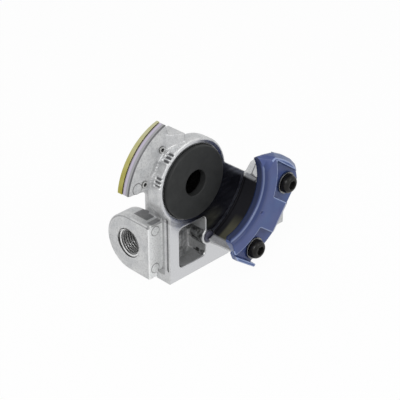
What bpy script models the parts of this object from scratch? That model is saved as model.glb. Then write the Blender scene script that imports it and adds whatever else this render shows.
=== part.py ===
# Palm coupling head for a two-line truck air brake, with its blue guide.
#
# Metres, +Z up. The origin lies on the base, below the crossing of the seal axis and the
# port axis. +Y runs along the seal axis, away from the mating head, and the hose port
# opens towards -X. Depths are measured back from the contact plane, so a negative depth
# stands in front of it.
import math

import bmesh
import bpy
from mathutils import Matrix, Vector

MM = 0.001
SEAT_GAP = 0.3 * MM
FACETS = 48
HEX_CORNERS = (0.0, 60.0, 120.0, 180.0, 240.0, 300.0)

# Main axes
SEAL_AXIS_Z = 54.4 * MM
PORT_AXIS_Z = 16.5 * MM
FACE_TO_PORT = 25.8 * MM

# Sealing ring and the cup that holds it
SEAL_R = 19.8 * MM
SEAL_LIP = 2.0 * MM
SEAL_HOLE_R = 7.0 * MM
SEAL_PROUD = 2.0 * MM
SEAL_FACE_THICK = 4.3 * MM
SEAL_TRAVEL = 2.0 * MM
CUP_WALL = 3.3 * MM
CUP_DEPTH = 9.6 * MM
CUP_CROWN = 1.2 * MM
CUP_REAR_ROUNDING = 3.0 * MM

# Valve chamber behind the cup
BORE_R = 12.5 * MM
CHAMBER_WALL = 3.7 * MM
CHAMBER_FLOOR = 29.0 * MM
CHAMBER_END = 34.0 * MM
CHAMBER_DOME = 4.0 * MM

# Moving carrier of the sealing ring
CARRIER_FLANGE_THICK = 1.8 * MM
CARRIER_WALL = 2.7 * MM
CARRIER_LENGTH = 14.4 * MM
CARRIER_SEAT_HOLE_R = 5.6 * MM
CARRIER_SEAT_THICK = 1.8 * MM
O_RING_SECTION_R = 0.75 * MM
O_RING_GROOVE_DEPTH = 1.8 * MM
O_RING_GROOVE_FRONT = 8.2 * MM

# Fixed valve inside the carrier
VALVE_R = 8.0 * MM
VALVE_SEAL_THICK = 2.0 * MM
VALVE_CAP_THICK = 1.4 * MM
POST_R = 4.0 * MM
POST_TIP_R = 3.2 * MM
POST_FOOT_THICK = 2.0 * MM
SPRING_SEAT_THICK = 0.9 * MM
SPRING_SEAT_IN_R = 8.6 * MM
SPRING_WIRE_R = 0.75 * MM
SPRING_TURNS = 3.5
VALVE_SCREW_R = 2.0 * MM
VALVE_SCREW_HEAD_R = 3.6 * MM
VALVE_SCREW_HEAD_LEN = 2.6 * MM
VALVE_SCREW_GRIP = 3.4 * MM
LOCK_WASHER_R = 3.8 * MM
LOCK_WASHER_THICK = 0.8 * MM

# Hose port block
PORT_FACE_X = -22.2 * MM
PORT_BLOCK_LEN = 11.8 * MM
PORT_BLOCK_R = 16.1 * MM
PORT_BLOCK_FLAT = 10.3 * MM
PORT_THREAD_R = 8.0 * MM
PORT_THREAD_LEN = 14.0 * MM
PORT_CHAMFER = 0.6 * MM
PORT_TUBE_R = 10.0 * MM
PORT_TUBE_END_X = 8.0 * MM
AIRWAY_R = 5.4 * MM
RISER_R = 4.5 * MM
RISER_DEPTH = 20.0 * MM
COLUMN_R = 11.0 * MM

# Lower frame with its open pocket
FRAME_LEFT_X = -16.8 * MM
FRAME_RIGHT_X = 26.9 * MM
FRAME_PLATE_THICK = 4.5 * MM
FRAME_REAR = 34.0 * MM
FRAME_WALL_LEFT_X = -12.4 * MM
POCKET_LEFT_X = -10.0 * MM
POCKET_RIGHT_X = 9.2 * MM
POCKET_TOP_Z = 30.6 * MM
POCKET_CORNER_R = 2.4 * MM
FRAME_SILL = 6.8 * MM
PLINTH_HEIGHT = 4.0 * MM
PLINTH_REAR = 10.0 * MM
RIGHT_WALL_THICK = 5.0 * MM
SIDE_GROOVE_WIDTH = 1.1 * MM
SIDE_GROOVE_DEPTH = 1.8 * MM
SIDE_GROOVE_BACK = 1.3 * MM

# Flange that slides under the mating head's guide
FLANGE_R = 38.2 * MM
FLANGE_CENTRE_DROP = 2.6 * MM
FLANGE_FRONT = 6.5 * MM
FLANGE_THICK = 4.2 * MM
FLANGE_START = 108.5
FLANGE_END = 171.1
FLANGE_ROOT_START = 112.0
FLANGE_ROOT_END = 175.5
SHOULDER_X = -3.5 * MM
SHOULDER_RISE = 27.6 * MM
SHOULDER_WIDTH = 5.2 * MM
SHOULDER_WING = 3.7 * MM
SHOULDER_NOSE = 1.4 * MM
SHOULDER_FRONT = 2.0 * MM
SHOULDER_REAR = 14.0 * MM
WALL_POCKET_ANGLES = (129.0, 162.0)
WALL_POCKET_SPAN = 13.0
WALL_POCKET_RIB_SPAN = 1.9
WALL_POCKET_CELLS = 3
WALL_POCKET_DEPTH = 1.1 * MM
WALL_POCKET_REAR = 4.4 * MM
WALL_PANEL_ANGLES = (138.5, 154.5)
WALL_PANEL_DEPTH = 0.4 * MM

# Wear plate on the back of the flange
WEAR_PLATE_THICK_UPPER = 1.7 * MM
WEAR_PLATE_THICK_LOWER = 2.9 * MM
WEAR_PLATE_THICK_MIDDLE = 2.7 * MM
RIVETS = (("upper", 125.4, 2.2 * MM), ("lower", 166.7, 4.1 * MM))
RIVET_R = 1.3 * MM
RIVET_HEAD_R = 1.9 * MM
RIVET_HEAD_THICK = 0.7 * MM
RIVET_DIMPLE_R = 0.7 * MM

# Contact plate and arm that carry the guide
ARM_ANGLE = -36.5
SLOT_R = 39.0 * MM
WEB_THICK = 7.0 * MM
WEB_EDGE_OFFSET = 15.7 * MM
ARM_TOP_DEPTH = -17.0 * MM
ARM_ROOT_DEPTH = 0.5 * MM
ARM_OUTER_U = 51.8 * MM
ARM_OUTLINE_UV = (
    (24.0, -18.0), (30.0, -24.5), (34.0, -25.5), (46.0, -25.5), (50.5, -17.0), (51.8, -9.0), (51.8, 10.0),
    (51.5, 21.5), (48.0, 25.6), (41.0, 25.6), (37.0, 21.6), (36.4, 15.7), (30.0, 15.0),
)
SCREW_SPOTS_UV = ((44.5, 19.3), (43.5, -18.4))
LUG_X = 50.4 * MM
LUG_DROP = 37.6 * MM
LUG_HEIGHT = 13.2 * MM
LUG_LEFT_X = 30.0 * MM
STOP_PIN_X = 11.5 * MM
STOP_PIN_DROP = 37.2 * MM
STOP_PIN_R = 3.0 * MM
STOP_PIN_PROUD = 0.5 * MM
STOP_PIN_LEN = 8.0 * MM
STOP_BOSS_WALL = 1.4 * MM
GUSSET_THICK = 5.0 * MM
GUSSET_HEIGHT = 13.0 * MM

# Blue guide
GUIDE_TOP_DEPTH = -24.5 * MM
GUIDE_LIP_DEPTH = -19.0 * MM
GUIDE_PAD_DEPTH = -20.0 * MM
GUIDE_LIP_R = 26.0 * MM
GUIDE_LAND_R = 28.4 * MM
GUIDE_SLOT_TAPER_DEPTH = 1.6 * MM
GUIDE_SLOT_TAPER = 0.8 * MM
GUIDE_PAD_CLEARANCE = 5.03 * MM
GUIDE_PAD_V_UPPER = 10.0 * MM
GUIDE_PAD_V_LOWER = -7.2 * MM
GUIDE_PAD_UPPER_END_V = 27.3 * MM
GUIDE_PAD_LOWER_END_V = -25.7 * MM
GUIDE_ROUNDING_DEPTH = -23.8 * MM
GUIDE_ROUNDING_SHARE = 0.9
GUIDE_BASE_UV = (
    (15.0, 11.0), (10.5, 21.8), (12.0, 24.0), (17.0, 26.9), (23.5, 30.0), (32.6, 31.3), (39.2, 31.3),
    (45.2, 30.1), (49.5, 27.2), (53.0, 24.2), (54.5, 21.0), (54.2, 6.0), (54.0, -8.0), (52.6, -12.0),
    (46.8, -25.5), (45.8, -28.0), (34.0, -28.0), (28.5, -24.6), (20.0, -20.6), (15.0, -11.0),
)
GUIDE_TOP_UV = (
    (20.0, 11.0), (20.2, 20.5), (20.6, 24.0), (21.0, 26.5), (21.8, 28.1), (28.5, 29.0), (34.0, 29.2),
    (38.0, 28.8), (41.5, 27.8), (44.5, 25.0), (46.8, 21.0), (47.2, 6.0), (47.2, -8.0), (46.2, -12.0),
    (45.8, -25.5), (45.6, -27.4), (29.5, -27.4), (24.0, -24.0), (19.0, -20.0), (17.0, -11.0),
)
GUIDE_DIMPLE_R = 1.0 * MM
GUIDE_DIMPLE_DEPTH = 0.9 * MM
GUIDE_DIMPLE_U = 31.0 * MM

# Guide screws and washers
WASHER_R = 6.0 * MM
WASHER_THICK = 1.0 * MM
SCREW_R = 3.0 * MM
SCREW_HEAD_R = 5.2 * MM
SCREW_HEAD_TOP_R = 2.9 * MM
SCREW_HEAD_LEN = 3.5 * MM
SCREW_SHANK_LEN = 15.0 * MM
HEX_SOCKET_R = 2.3 * MM
HEX_SOCKET_DEPTH = 2.2 * MM

# Sizes that follow from the ones above
FACE_Y = -FACE_TO_PORT
CUP_R = SEAL_R + SEAT_GAP + CUP_WALL
RECESS_R = SEAL_R + SEAT_GAP
CHAMBER_R = BORE_R + CHAMBER_WALL
CARRIER_R = BORE_R - SEAT_GAP
CARRIER_BORE_R = CARRIER_R - CARRIER_WALL
CARRIER_FLANGE_R = SEAL_R - SEAL_LIP
CARRIER_FRONT = SEAL_FACE_THICK - SEAL_PROUD + SEAT_GAP
CARRIER_REAR = CARRIER_FRONT + CARRIER_LENGTH
CARRIER_SEAT_FRONT = CARRIER_REAR - CARRIER_SEAT_THICK
RECESS_DEPTH = CARRIER_FRONT + CARRIER_FLANGE_THICK + SEAL_TRAVEL + SEAT_GAP
POST_FOOT_FRONT = CHAMBER_FLOOR - SEAT_GAP - POST_FOOT_THICK
SPRING_SEAT_FRONT = POST_FOOT_FRONT - SEAT_GAP - SPRING_SEAT_THICK
VALVE_SEAL_FRONT = CARRIER_SEAT_FRONT - SEAT_GAP - VALVE_SEAL_THICK
VALVE_CAP_FRONT = VALVE_SEAL_FRONT - SEAT_GAP - VALVE_CAP_THICK
LOCK_WASHER_FRONT = VALVE_CAP_FRONT - SEAT_GAP - LOCK_WASHER_THICK
PORT_BLOCK_REAR_X = PORT_FACE_X + PORT_BLOCK_LEN
FLANGE_REAR = FLANGE_FRONT + FLANGE_THICK
GUIDE_SEAT_DEPTH = ARM_TOP_DEPTH - SEAT_GAP
GUIDE_PAD_R = min(math.hypot(u, v) for u, v in SCREW_SPOTS_UV) * MM - WASHER_R - GUIDE_PAD_CLEARANCE
FRAME_TOP_Z = SEAL_AXIS_Z - CUP_R / 2
FLANGE_CENTRE_Z = SEAL_AXIS_Z - FLANGE_CENTRE_DROP
SHOULDER_TOP_Z = SEAL_AXIS_Z + SHOULDER_RISE
STOP_PIN_Z = SEAL_AXIS_Z - STOP_PIN_DROP
LUG_BOTTOM_Z = SEAL_AXIS_Z - LUG_DROP
LUG_TOP_Z = LUG_BOTTOM_Z + LUG_HEIGHT
COS_ARM = math.cos(math.radians(ARM_ANGLE))
SIN_ARM = math.sin(math.radians(ARM_ANGLE))


def at_depth(depth):
    """Y of a plane at a depth behind the contact plane."""
    return FACE_Y + depth


def arm_point(u, v):
    """(x, z) of a point u out along the arm's middle line and v across it, upwards."""
    return (u * COS_ARM - v * SIN_ARM, SEAL_AXIS_Z + u * SIN_ARM + v * COS_ARM)


def polar_point(radius, angle):
    """(x, z) of a point at a radius and an angle in degrees about the seal axis."""
    turn = math.radians(angle)
    return (radius * math.cos(turn), SEAL_AXIS_Z + radius * math.sin(turn))


def arc_points(centre, radius, start, end, steps):
    """Points on an arc in a plane, from one angle in degrees to another."""
    points = []
    for i in range(steps + 1):
        turn = math.radians(start + (end - start) * i / steps)
        points.append((centre[0] + radius * math.cos(turn), centre[1] + radius * math.sin(turn)))
    return points


def hexagon(centre, radius):
    """Corners of a hexagon socket."""
    return [(centre[0] + radius * math.cos(math.radians(turn)),
             centre[1] + radius * math.sin(math.radians(turn))) for turn in HEX_CORNERS]


def make_material(name, colour, roughness, metallic=0.0):
    material = bpy.data.materials.new(name)
    material.use_nodes = True
    shader = material.node_tree.nodes["Principled BSDF"]
    shader.inputs["Base Color"].default_value = (*colour, 1.0)
    shader.inputs["Roughness"].default_value = roughness
    shader.inputs["Metallic"].default_value = metallic
    return material


def make_object(name, mesh_data, material=None):
    bmesh.ops.recalc_face_normals(mesh_data, faces=mesh_data.faces)
    mesh = bpy.data.meshes.new(name)
    mesh_data.to_mesh(mesh)
    mesh_data.free()
    piece = bpy.data.objects.new(name, mesh)
    bpy.context.collection.objects.link(piece)
    if material:
        mesh.materials.append(material)
    return piece


def place_in_plane(point, level, axis):
    """A 3-D point from a point of an outline and its level along the axis."""
    if axis == "X":
        return Vector((level, point[0], point[1]))
    if axis == "Y":
        return Vector((point[0], level, point[1]))
    return Vector((point[0], point[1], level))


def loft(name, outlines, levels, axis, material=None):
    """A solid through outlines with as many points each, at their levels along an axis."""
    data = bmesh.new()
    rings = []
    for outline, level in zip(outlines, levels):
        rings.append([data.verts.new(place_in_plane(p, level, axis)) for p in outline])
    count = len(outlines[0])
    for lower, upper in zip(rings, rings[1:]):
        for i in range(count):
            j = (i + 1) % count
            data.faces.new((lower[i], lower[j], upper[j], upper[i]))
    data.faces.new(list(reversed(rings[0])))
    data.faces.new(rings[-1])
    return make_object(name, data, material)


def prism(name, outline, low, high, axis, material=None):
    return loft(name, [outline, outline], [low, high], axis, material)


def turned(name, profile, axis_point, axis, material=None, steps=FACETS):
    """A turned solid. The profile is a closed loop of (radius, level) about the axis."""
    data = bmesh.new()
    rings = []
    for radius, level in profile:
        if radius < 1e-9:
            rings.append([data.verts.new(place_in_plane(axis_point, level, axis))])
            continue
        ring = []
        for i in range(steps):
            turn = 2 * math.pi * i / steps
            spot = (axis_point[0] + radius * math.cos(turn), axis_point[1] + radius * math.sin(turn))
            ring.append(data.verts.new(place_in_plane(spot, level, axis)))
        rings.append(ring)
    for k in range(len(rings)):
        first, second = rings[k], rings[(k + 1) % len(rings)]
        if len(first) == 1 and len(second) == 1:
            continue
        for i in range(steps):
            j = (i + 1) % steps
            if len(first) == 1:
                data.faces.new((first[0], second[j], second[i]))
            elif len(second) == 1:
                data.faces.new((first[i], first[j], second[0]))
            else:
                data.faces.new((first[i], first[j], second[j], second[i]))
    return make_object(name, data, material)


def seal_turned(name, profile, material=None, steps=FACETS):
    """A solid turned about the seal axis from (radius, depth) points."""
    levels = [(radius, at_depth(depth)) for radius, depth in profile]
    return turned(name, levels, (0.0, SEAL_AXIS_Z), "Y", material, steps)


def rod(name, radius, low, high, axis_point, axis, material=None, steps=FACETS):
    profile = [(0.0, low), (radius, low), (radius, high), (0.0, high)]
    return turned(name, profile, axis_point, axis, material, steps)


def combine(piece, tool, operation):
    """Apply a boolean with a tool object and remove the tool. The many faces that share
    a plane break the exact solver here, so the manifold one joins these closed meshes."""
    modifier = piece.modifiers.new("boolean", "BOOLEAN")
    modifier.operation = operation
    modifier.solver = "MANIFOLD"
    modifier.object = tool
    bpy.context.view_layer.update()
    evaluated = piece.evaluated_get(bpy.context.evaluated_depsgraph_get())
    mesh = bpy.data.meshes.new_from_object(evaluated)
    old = piece.data
    piece.modifiers.clear()
    piece.data = mesh
    mesh.name = piece.name
    bpy.data.meshes.remove(old)
    bpy.data.objects.remove(tool)


def add(piece, tool):
    combine(piece, tool, "UNION")


def cut(piece, tool):
    combine(piece, tool, "DIFFERENCE")


def smooth(piece, angle=35.0):
    piece.data.shade_smooth()
    piece.data.set_sharp_from_angle(angle=math.radians(angle))


# Coupler body
def cup_profile():
    """Cup round the sealing ring, with a rounded crown in front and behind."""
    crown = arc_points((CUP_R - CUP_CROWN, CUP_CROWN), CUP_CROWN, -90.0, 0.0, 3)
    rounding = CUP_REAR_ROUNDING
    back = arc_points((CUP_R - rounding, CUP_DEPTH - rounding), rounding, 0.0, 90.0, 4)
    return [(0.0, 0.0)] + crown + back + [(0.0, CUP_DEPTH)]


def chamber_profile():
    """Valve chamber with a domed end."""
    dome = arc_points((CHAMBER_R - CHAMBER_DOME, CHAMBER_END - CHAMBER_DOME), CHAMBER_DOME, 0.0, 90.0, 4)
    return [(0.0, CUP_CROWN), (CHAMBER_R, CUP_CROWN)] + dome + [(0.0, CHAMBER_END)]


def port_block_outline(inset=0.0):
    """(y, z) outline of the port block: round at the back, square towards the front."""
    radius = PORT_BLOCK_R - inset
    front = at_depth(PORT_BLOCK_FLAT) + inset
    turn = arc_points((0.0, PORT_AXIS_Z), radius, -90.0, 90.0, 20)
    return turn + [(front, PORT_AXIS_Z + radius), (front, PORT_AXIS_Z - radius)]


def rounded_rectangle(x_low, x_high, z_low, z_high, radius, steps=3):
    corners = [
        (x_high - radius, z_high - radius, 0.0),
        (x_low + radius, z_high - radius, 90.0),
        (x_low + radius, z_low + radius, 180.0),
        (x_high - radius, z_low + radius, 270.0),
    ]
    points = []
    for x, z, start in corners:
        points += arc_points((x, z), radius, start, start + 90.0, steps)
    return points


def flange_outline(inner, steps=22):
    """(x, z) outline of the flange: its rim is turned about a centre below the seal axis."""
    rim = arc_points((0.0, FLANGE_CENTRE_Z), FLANGE_R, FLANGE_START, FLANGE_END, steps)
    return rim + arc_points((0.0, SEAL_AXIS_Z), inner, FLANGE_ROOT_END, FLANGE_ROOT_START, steps)


def sector_outline(inner, outer, start, end, steps):
    """(x, z) outline of a ring sector about the seal axis."""
    centre = (0.0, SEAL_AXIS_Z)
    return arc_points(centre, outer, start, end, steps) + arc_points(centre, inner, end, start, steps)


def add_port(body):
    """D-shaped port block, its inner tube and the column that rises to the chamber."""
    edge = PORT_CHAMFER
    block = loft(
        "port_block",
        [port_block_outline(edge), port_block_outline(), port_block_outline(), port_block_outline(edge)],
        [PORT_FACE_X, PORT_FACE_X + edge, PORT_BLOCK_REAR_X - edge, PORT_BLOCK_REAR_X],
        "X",
    )
    add(body, block)
    add(body, rod("port_tube", PORT_TUBE_R, PORT_BLOCK_REAR_X - edge, PORT_TUBE_END_X,
                  (0.0, PORT_AXIS_Z), "X", steps=32))
    foot = [(PORT_BLOCK_REAR_X - edge, -PORT_TUBE_R), (PORT_TUBE_END_X, -PORT_TUBE_R),
            (PORT_TUBE_END_X, PORT_TUBE_R), (PORT_BLOCK_REAR_X - edge, PORT_TUBE_R)]
    add(body, prism("tube_foot", foot, FRAME_SILL / 2, PORT_AXIS_Z, "Z"))
    add(body, rod("column", COLUMN_R, FRAME_SILL / 2, SEAL_AXIS_Z,
                  (0.0, at_depth(RISER_DEPTH)), "Z", steps=32))


def add_lower_frame(body):
    """Front plate, plinth, floor and walls of the open frame that the head stands on."""
    plate = [
        (FRAME_LEFT_X, 0.0), (FRAME_RIGHT_X, 0.0), (FRAME_RIGHT_X, POCKET_TOP_Z),
        (FRAME_LEFT_X, FRAME_TOP_Z),
    ]
    add(body, prism("front_plate", plate, FACE_Y, at_depth(FRAME_PLATE_THICK), "Y"))
    plinth = [(FRAME_LEFT_X, FACE_Y), (FRAME_RIGHT_X, FACE_Y),
              (FRAME_RIGHT_X, at_depth(PLINTH_REAR)), (FRAME_LEFT_X, at_depth(PLINTH_REAR))]
    add(body, prism("plinth", plinth, 0.0, PLINTH_HEIGHT, "Z"))
    wall_right = POCKET_RIGHT_X + RIGHT_WALL_THICK
    back = at_depth(FRAME_REAR)
    corner = POCKET_CORNER_R * 2
    floor = [(FRAME_WALL_LEFT_X, FACE_Y), (wall_right, FACE_Y)]
    floor += arc_points((wall_right - corner, back - corner), corner, 0.0, 90.0, 4)
    floor += arc_points((FRAME_WALL_LEFT_X + corner, back - corner), corner, 90.0, 180.0, 4)
    add(body, prism("floor", floor, 0.0, FRAME_SILL, "Z"))
    wall_rear = at_depth(RISER_DEPTH)
    for low, high in ((FRAME_WALL_LEFT_X, POCKET_LEFT_X), (POCKET_RIGHT_X, wall_right)):
        wall = [(low, FACE_Y), (high, FACE_Y), (high, wall_rear), (low, wall_rear)]
        add(body, prism("side_wall", wall, 0.0, SEAL_AXIS_Z - CHAMBER_R / 2, "Z"))


def shoulder_outline(width):
    """(x, z) outline of the shoulder, which widens from its nose to the flange."""
    root_z = SEAL_AXIS_Z + BORE_R
    left = SHOULDER_X - width
    return [(SHOULDER_X, SHOULDER_TOP_Z), (SHOULDER_X, root_z), (left, root_z), (left, SHOULDER_TOP_Z)]


def add_flange(body):
    """Ring sector under the mating guide, and the shoulder that stiffens its upper end."""
    add(body, prism("flange", flange_outline(SEAL_R), at_depth(FLANGE_FRONT), at_depth(FLANGE_REAR), "Y"))
    wing = shoulder_outline(SHOULDER_WIDTH + SHOULDER_WING)
    outlines = [shoulder_outline(SHOULDER_NOSE), wing, wing]
    levels = [at_depth(SHOULDER_FRONT), at_depth(FLANGE_FRONT), at_depth(FLANGE_REAR)]
    add(body, loft("shoulder_wing", outlines, levels, "Y"))
    add(body, prism("shoulder", shoulder_outline(SHOULDER_WIDTH), at_depth(FLANGE_FRONT),
                    at_depth(SHOULDER_REAR), "Y"))


def uv_outline(points):
    """(x, z) outline from (u, v) points in millimetres about the arm's middle line."""
    return [arm_point(u * MM, v * MM) for u, v in points]


def web_outline():
    """(x, z) outline of the contact plate between the cup, the arm and the frame."""
    edge_start = arm_point(CUP_R / 2, WEB_EDGE_OFFSET)
    edge_end = arm_point(ARM_OUTER_U, WEB_EDGE_OFFSET)
    low_end = arm_point(ARM_OUTER_U, -WEB_EDGE_OFFSET)
    return [edge_end, edge_start, (0.0, SEAL_AXIS_Z), (0.0, POCKET_TOP_Z),
            (POCKET_RIGHT_X, FRAME_SILL), (FRAME_RIGHT_X, FRAME_SILL), low_end,
            arm_point(ARM_OUTER_U, 0.0)]


def add_arm(body):
    """Contact plate, the arm that stands in front of it, its lug and a gusset behind."""
    add(body, prism("web", web_outline(), FACE_Y, at_depth(WEB_THICK), "Y"))
    arm = prism("arm", uv_outline(ARM_OUTLINE_UV), at_depth(ARM_TOP_DEPTH), at_depth(ARM_ROOT_DEPTH), "Y")
    lug = [(LUG_LEFT_X, LUG_BOTTOM_Z), (LUG_X, LUG_BOTTOM_Z), (LUG_X, LUG_TOP_Z), (LUG_LEFT_X, LUG_TOP_Z)]
    add(arm, prism("lug", lug, at_depth(ARM_TOP_DEPTH), at_depth(WEB_THICK), "Y"))
    cut(arm, rod("slot", SLOT_R, at_depth(ARM_TOP_DEPTH) - MM, FACE_Y, (0.0, SEAL_AXIS_Z), "Y", steps=96))
    add(body, arm)
    half = GUSSET_THICK / 2
    corners = [arm_point(BORE_R, -half), arm_point(BORE_R, half),
               arm_point(ARM_OUTER_U - half, half), arm_point(ARM_OUTER_U - half, -half)]
    tall = [corners[0], corners[1], arm_point(CHAMBER_R + half, half), arm_point(CHAMBER_R + half, -half)]
    levels = [at_depth(WEB_THICK) - MM, at_depth(WEB_THICK + GUSSET_HEIGHT)]
    add(body, loft("gusset", [corners, tall], levels, "Y"))


def cut_waterways(body):
    """Seal recess, valve bore, port bore and the riser between them."""
    recess = [(0.0, -MM), (RECESS_R, -MM), (RECESS_R, RECESS_DEPTH), (0.0, RECESS_DEPTH)]
    cut(body, seal_turned("recess", recess))
    bore = [(0.0, 0.0), (BORE_R, 0.0), (BORE_R, CHAMBER_FLOOR), (0.0, CHAMBER_FLOOR)]
    cut(body, seal_turned("bore", bore))
    chamfer_r = PORT_THREAD_R + PORT_CHAMFER
    port = [
        (0.0, PORT_FACE_X - MM), (chamfer_r, PORT_FACE_X - MM), (chamfer_r, PORT_FACE_X),
        (PORT_THREAD_R, PORT_FACE_X + PORT_CHAMFER), (PORT_THREAD_R, PORT_FACE_X + PORT_THREAD_LEN),
        (AIRWAY_R, PORT_FACE_X + PORT_THREAD_LEN + AIRWAY_R / 2), (AIRWAY_R, RISER_R),
        (0.0, AIRWAY_R + RISER_R / 2),
    ]
    cut(body, turned("port_bore", port, (0.0, PORT_AXIS_Z), "X", steps=32))
    cut(body, rod("riser", RISER_R, PORT_AXIS_Z, SEAL_AXIS_Z, (0.0, at_depth(RISER_DEPTH)), "Z", steps=24))
    tip = CHAMBER_FLOOR + VALVE_SCREW_GRIP + SEAT_GAP
    cut(body, rod("screw_hole", VALVE_SCREW_R + SEAT_GAP, at_depth(CHAMBER_FLOOR - MM), at_depth(tip),
                  (0.0, SEAL_AXIS_Z), "Y", steps=20))


def cut_pocket(body):
    """The open window in the front plate."""
    window = rounded_rectangle(POCKET_LEFT_X, POCKET_RIGHT_X, FRAME_SILL, POCKET_TOP_Z, POCKET_CORNER_R)
    cut(body, prism("window", window, FACE_Y - MM, at_depth(RISER_DEPTH - COLUMN_R - 2 * MM), "Y"))


def add_stop_boss(body):
    """Round boss of the stop pin, which bulges into the window."""
    boss_r = STOP_PIN_R + SEAT_GAP + STOP_BOSS_WALL
    add(body, rod("stop_boss", boss_r, FACE_Y, at_depth(WEB_THICK + STOP_PIN_LEN / 2),
                  (STOP_PIN_X, STOP_PIN_Z), "Y", steps=24))


def cut_side_groove(body):
    """Upright groove in the edge of the front plate, ending above the plinth."""
    x_high = FRAME_LEFT_X + SIDE_GROOVE_DEPTH
    low = at_depth(SIDE_GROOVE_BACK)
    groove = [(FRAME_LEFT_X - MM, low), (x_high, low), (x_high, low + SIDE_GROOVE_WIDTH),
              (FRAME_LEFT_X - MM, low + SIDE_GROOVE_WIDTH)]
    cut(body, prism("side_groove", groove, FRAME_SILL, FRAME_TOP_Z - MM, "Z"))


def cut_wall_pockets(body):
    """Two ribbed pockets in the cup's side, open to the front, and a flat between them."""
    pitch = (WALL_POCKET_SPAN + WALL_POCKET_RIB_SPAN) / WALL_POCKET_CELLS
    for angle in WALL_POCKET_ANGLES:
        for cell in range(WALL_POCKET_CELLS):
            start = angle - WALL_POCKET_SPAN / 2 + cell * pitch
            end = start + pitch - WALL_POCKET_RIB_SPAN
            outline = sector_outline(CUP_R - WALL_POCKET_DEPTH, CUP_R + MM, start, end, 2)
            cut(body, prism("wall_pocket", outline, FACE_Y - MM, at_depth(WALL_POCKET_REAR), "Y"))
    outline = sector_outline(CUP_R - WALL_PANEL_DEPTH, CUP_R + MM, *WALL_PANEL_ANGLES, 1)
    cut(body, prism("wall_panel", outline, FACE_Y - MM, at_depth(FLANGE_FRONT), "Y"))


def cut_fastener_holes(body):
    """Holes for the guide screws, the rivets and the stop pin."""
    for spot in uv_outline(SCREW_SPOTS_UV):
        low = at_depth(ARM_TOP_DEPTH) - MM
        high = at_depth(GUIDE_PAD_DEPTH - SEAT_GAP) + SCREW_SHANK_LEN
        cut(body, rod("screw_hole", SCREW_R + SEAT_GAP, low, high, spot, "Y", steps=20))
    for name, angle, from_cup in RIVETS:
        spot = polar_point(CUP_R + from_cup, angle)
        cut(body, rod("rivet_hole", RIVET_R + SEAT_GAP, at_depth(FLANGE_FRONT - MM),
                      at_depth(FLANGE_REAR + MM), spot, "Y", steps=16))
    cut(body, rod("pin_hole", STOP_PIN_R + SEAT_GAP, FACE_Y - MM, at_depth(STOP_PIN_LEN + SEAT_GAP),
                  (STOP_PIN_X, STOP_PIN_Z), "Y", steps=24))


def build_body(material):
    body = seal_turned("coupler_body", chamber_profile(), material)
    add(body, seal_turned("cup", cup_profile()))
    add_port(body)
    add_lower_frame(body)
    add_flange(body)
    add_arm(body)
    cut_pocket(body)
    add_stop_boss(body)
    cut_side_groove(body)
    cut_wall_pockets(body)
    cut_waterways(body)
    cut_fastener_holes(body)
    smooth(body)
    return body


# Blue guide
def guide_outline(share):
    """(x, z) outline of the guide, from its base at share 0 to its top at share 1."""
    points = []
    for base, top in zip(GUIDE_BASE_UV, GUIDE_TOP_UV):
        points.append((base[0] + (top[0] - base[0]) * share, base[1] + (top[1] - base[1]) * share))
    return uv_outline(points)


def guide_pad_outline(v_low, v_high):
    """(x, z) outline of a screw recess, from the land's edge out past the guide."""
    start = math.degrees(math.asin(v_low / GUIDE_PAD_R))
    end = math.degrees(math.asin(v_high / GUIDE_PAD_R))
    points = arc_points((0.0, 0.0), GUIDE_PAD_R, start, end, 8)
    far = 2 * GUIDE_PAD_R
    points += [(far, v_high), (far, v_low)]
    return [arm_point(u, v) for u, v in points]


def build_guide(material):
    """Painted claw: a raised land over the slot, a lip, and a pad under each screw."""
    guide = loft(
        "guide_claw",
        [guide_outline(0.0), guide_outline(0.0), guide_outline(GUIDE_ROUNDING_SHARE), guide_outline(1.0)],
        [at_depth(GUIDE_SEAT_DEPTH), at_depth(GUIDE_PAD_DEPTH - SEAT_GAP), at_depth(GUIDE_ROUNDING_DEPTH),
         at_depth(GUIDE_TOP_DEPTH)],
        "Y", material,
    )
    slot = [
        (0.0, GUIDE_TOP_DEPTH - MM), (GUIDE_LAND_R, GUIDE_TOP_DEPTH - MM), (GUIDE_LAND_R, GUIDE_TOP_DEPTH),
        (GUIDE_LIP_R + GUIDE_SLOT_TAPER, GUIDE_TOP_DEPTH + GUIDE_SLOT_TAPER_DEPTH),
        (GUIDE_LIP_R, GUIDE_LIP_DEPTH), (SLOT_R + SEAT_GAP, GUIDE_LIP_DEPTH),
        (SLOT_R + SEAT_GAP, GUIDE_SEAT_DEPTH + MM), (0.0, GUIDE_SEAT_DEPTH + MM),
    ]
    cut(guide, seal_turned("slot", slot, steps=96))
    upper = (GUIDE_PAD_V_UPPER, GUIDE_PAD_UPPER_END_V)
    lower = (GUIDE_PAD_LOWER_END_V, GUIDE_PAD_V_LOWER)
    for v_low, v_high in (upper, lower):
        pad = prism("pad", guide_pad_outline(v_low, v_high), at_depth(GUIDE_TOP_DEPTH) - MM,
                    at_depth(GUIDE_PAD_DEPTH), "Y")
        cut(guide, pad)
    for spot in uv_outline(SCREW_SPOTS_UV):
        cut(guide, rod("screw_hole", SCREW_R + SEAT_GAP, at_depth(GUIDE_PAD_DEPTH) - MM,
                       at_depth(GUIDE_SEAT_DEPTH) + MM, spot, "Y", steps=20))
    dimple_spot = arm_point(GUIDE_DIMPLE_U, 0.0)
    cut(guide, rod("dimple", GUIDE_DIMPLE_R, at_depth(GUIDE_TOP_DEPTH) - MM,
                   at_depth(GUIDE_TOP_DEPTH + GUIDE_DIMPLE_DEPTH), dimple_spot, "Y", steps=12))
    smooth(guide)
    return guide


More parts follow.
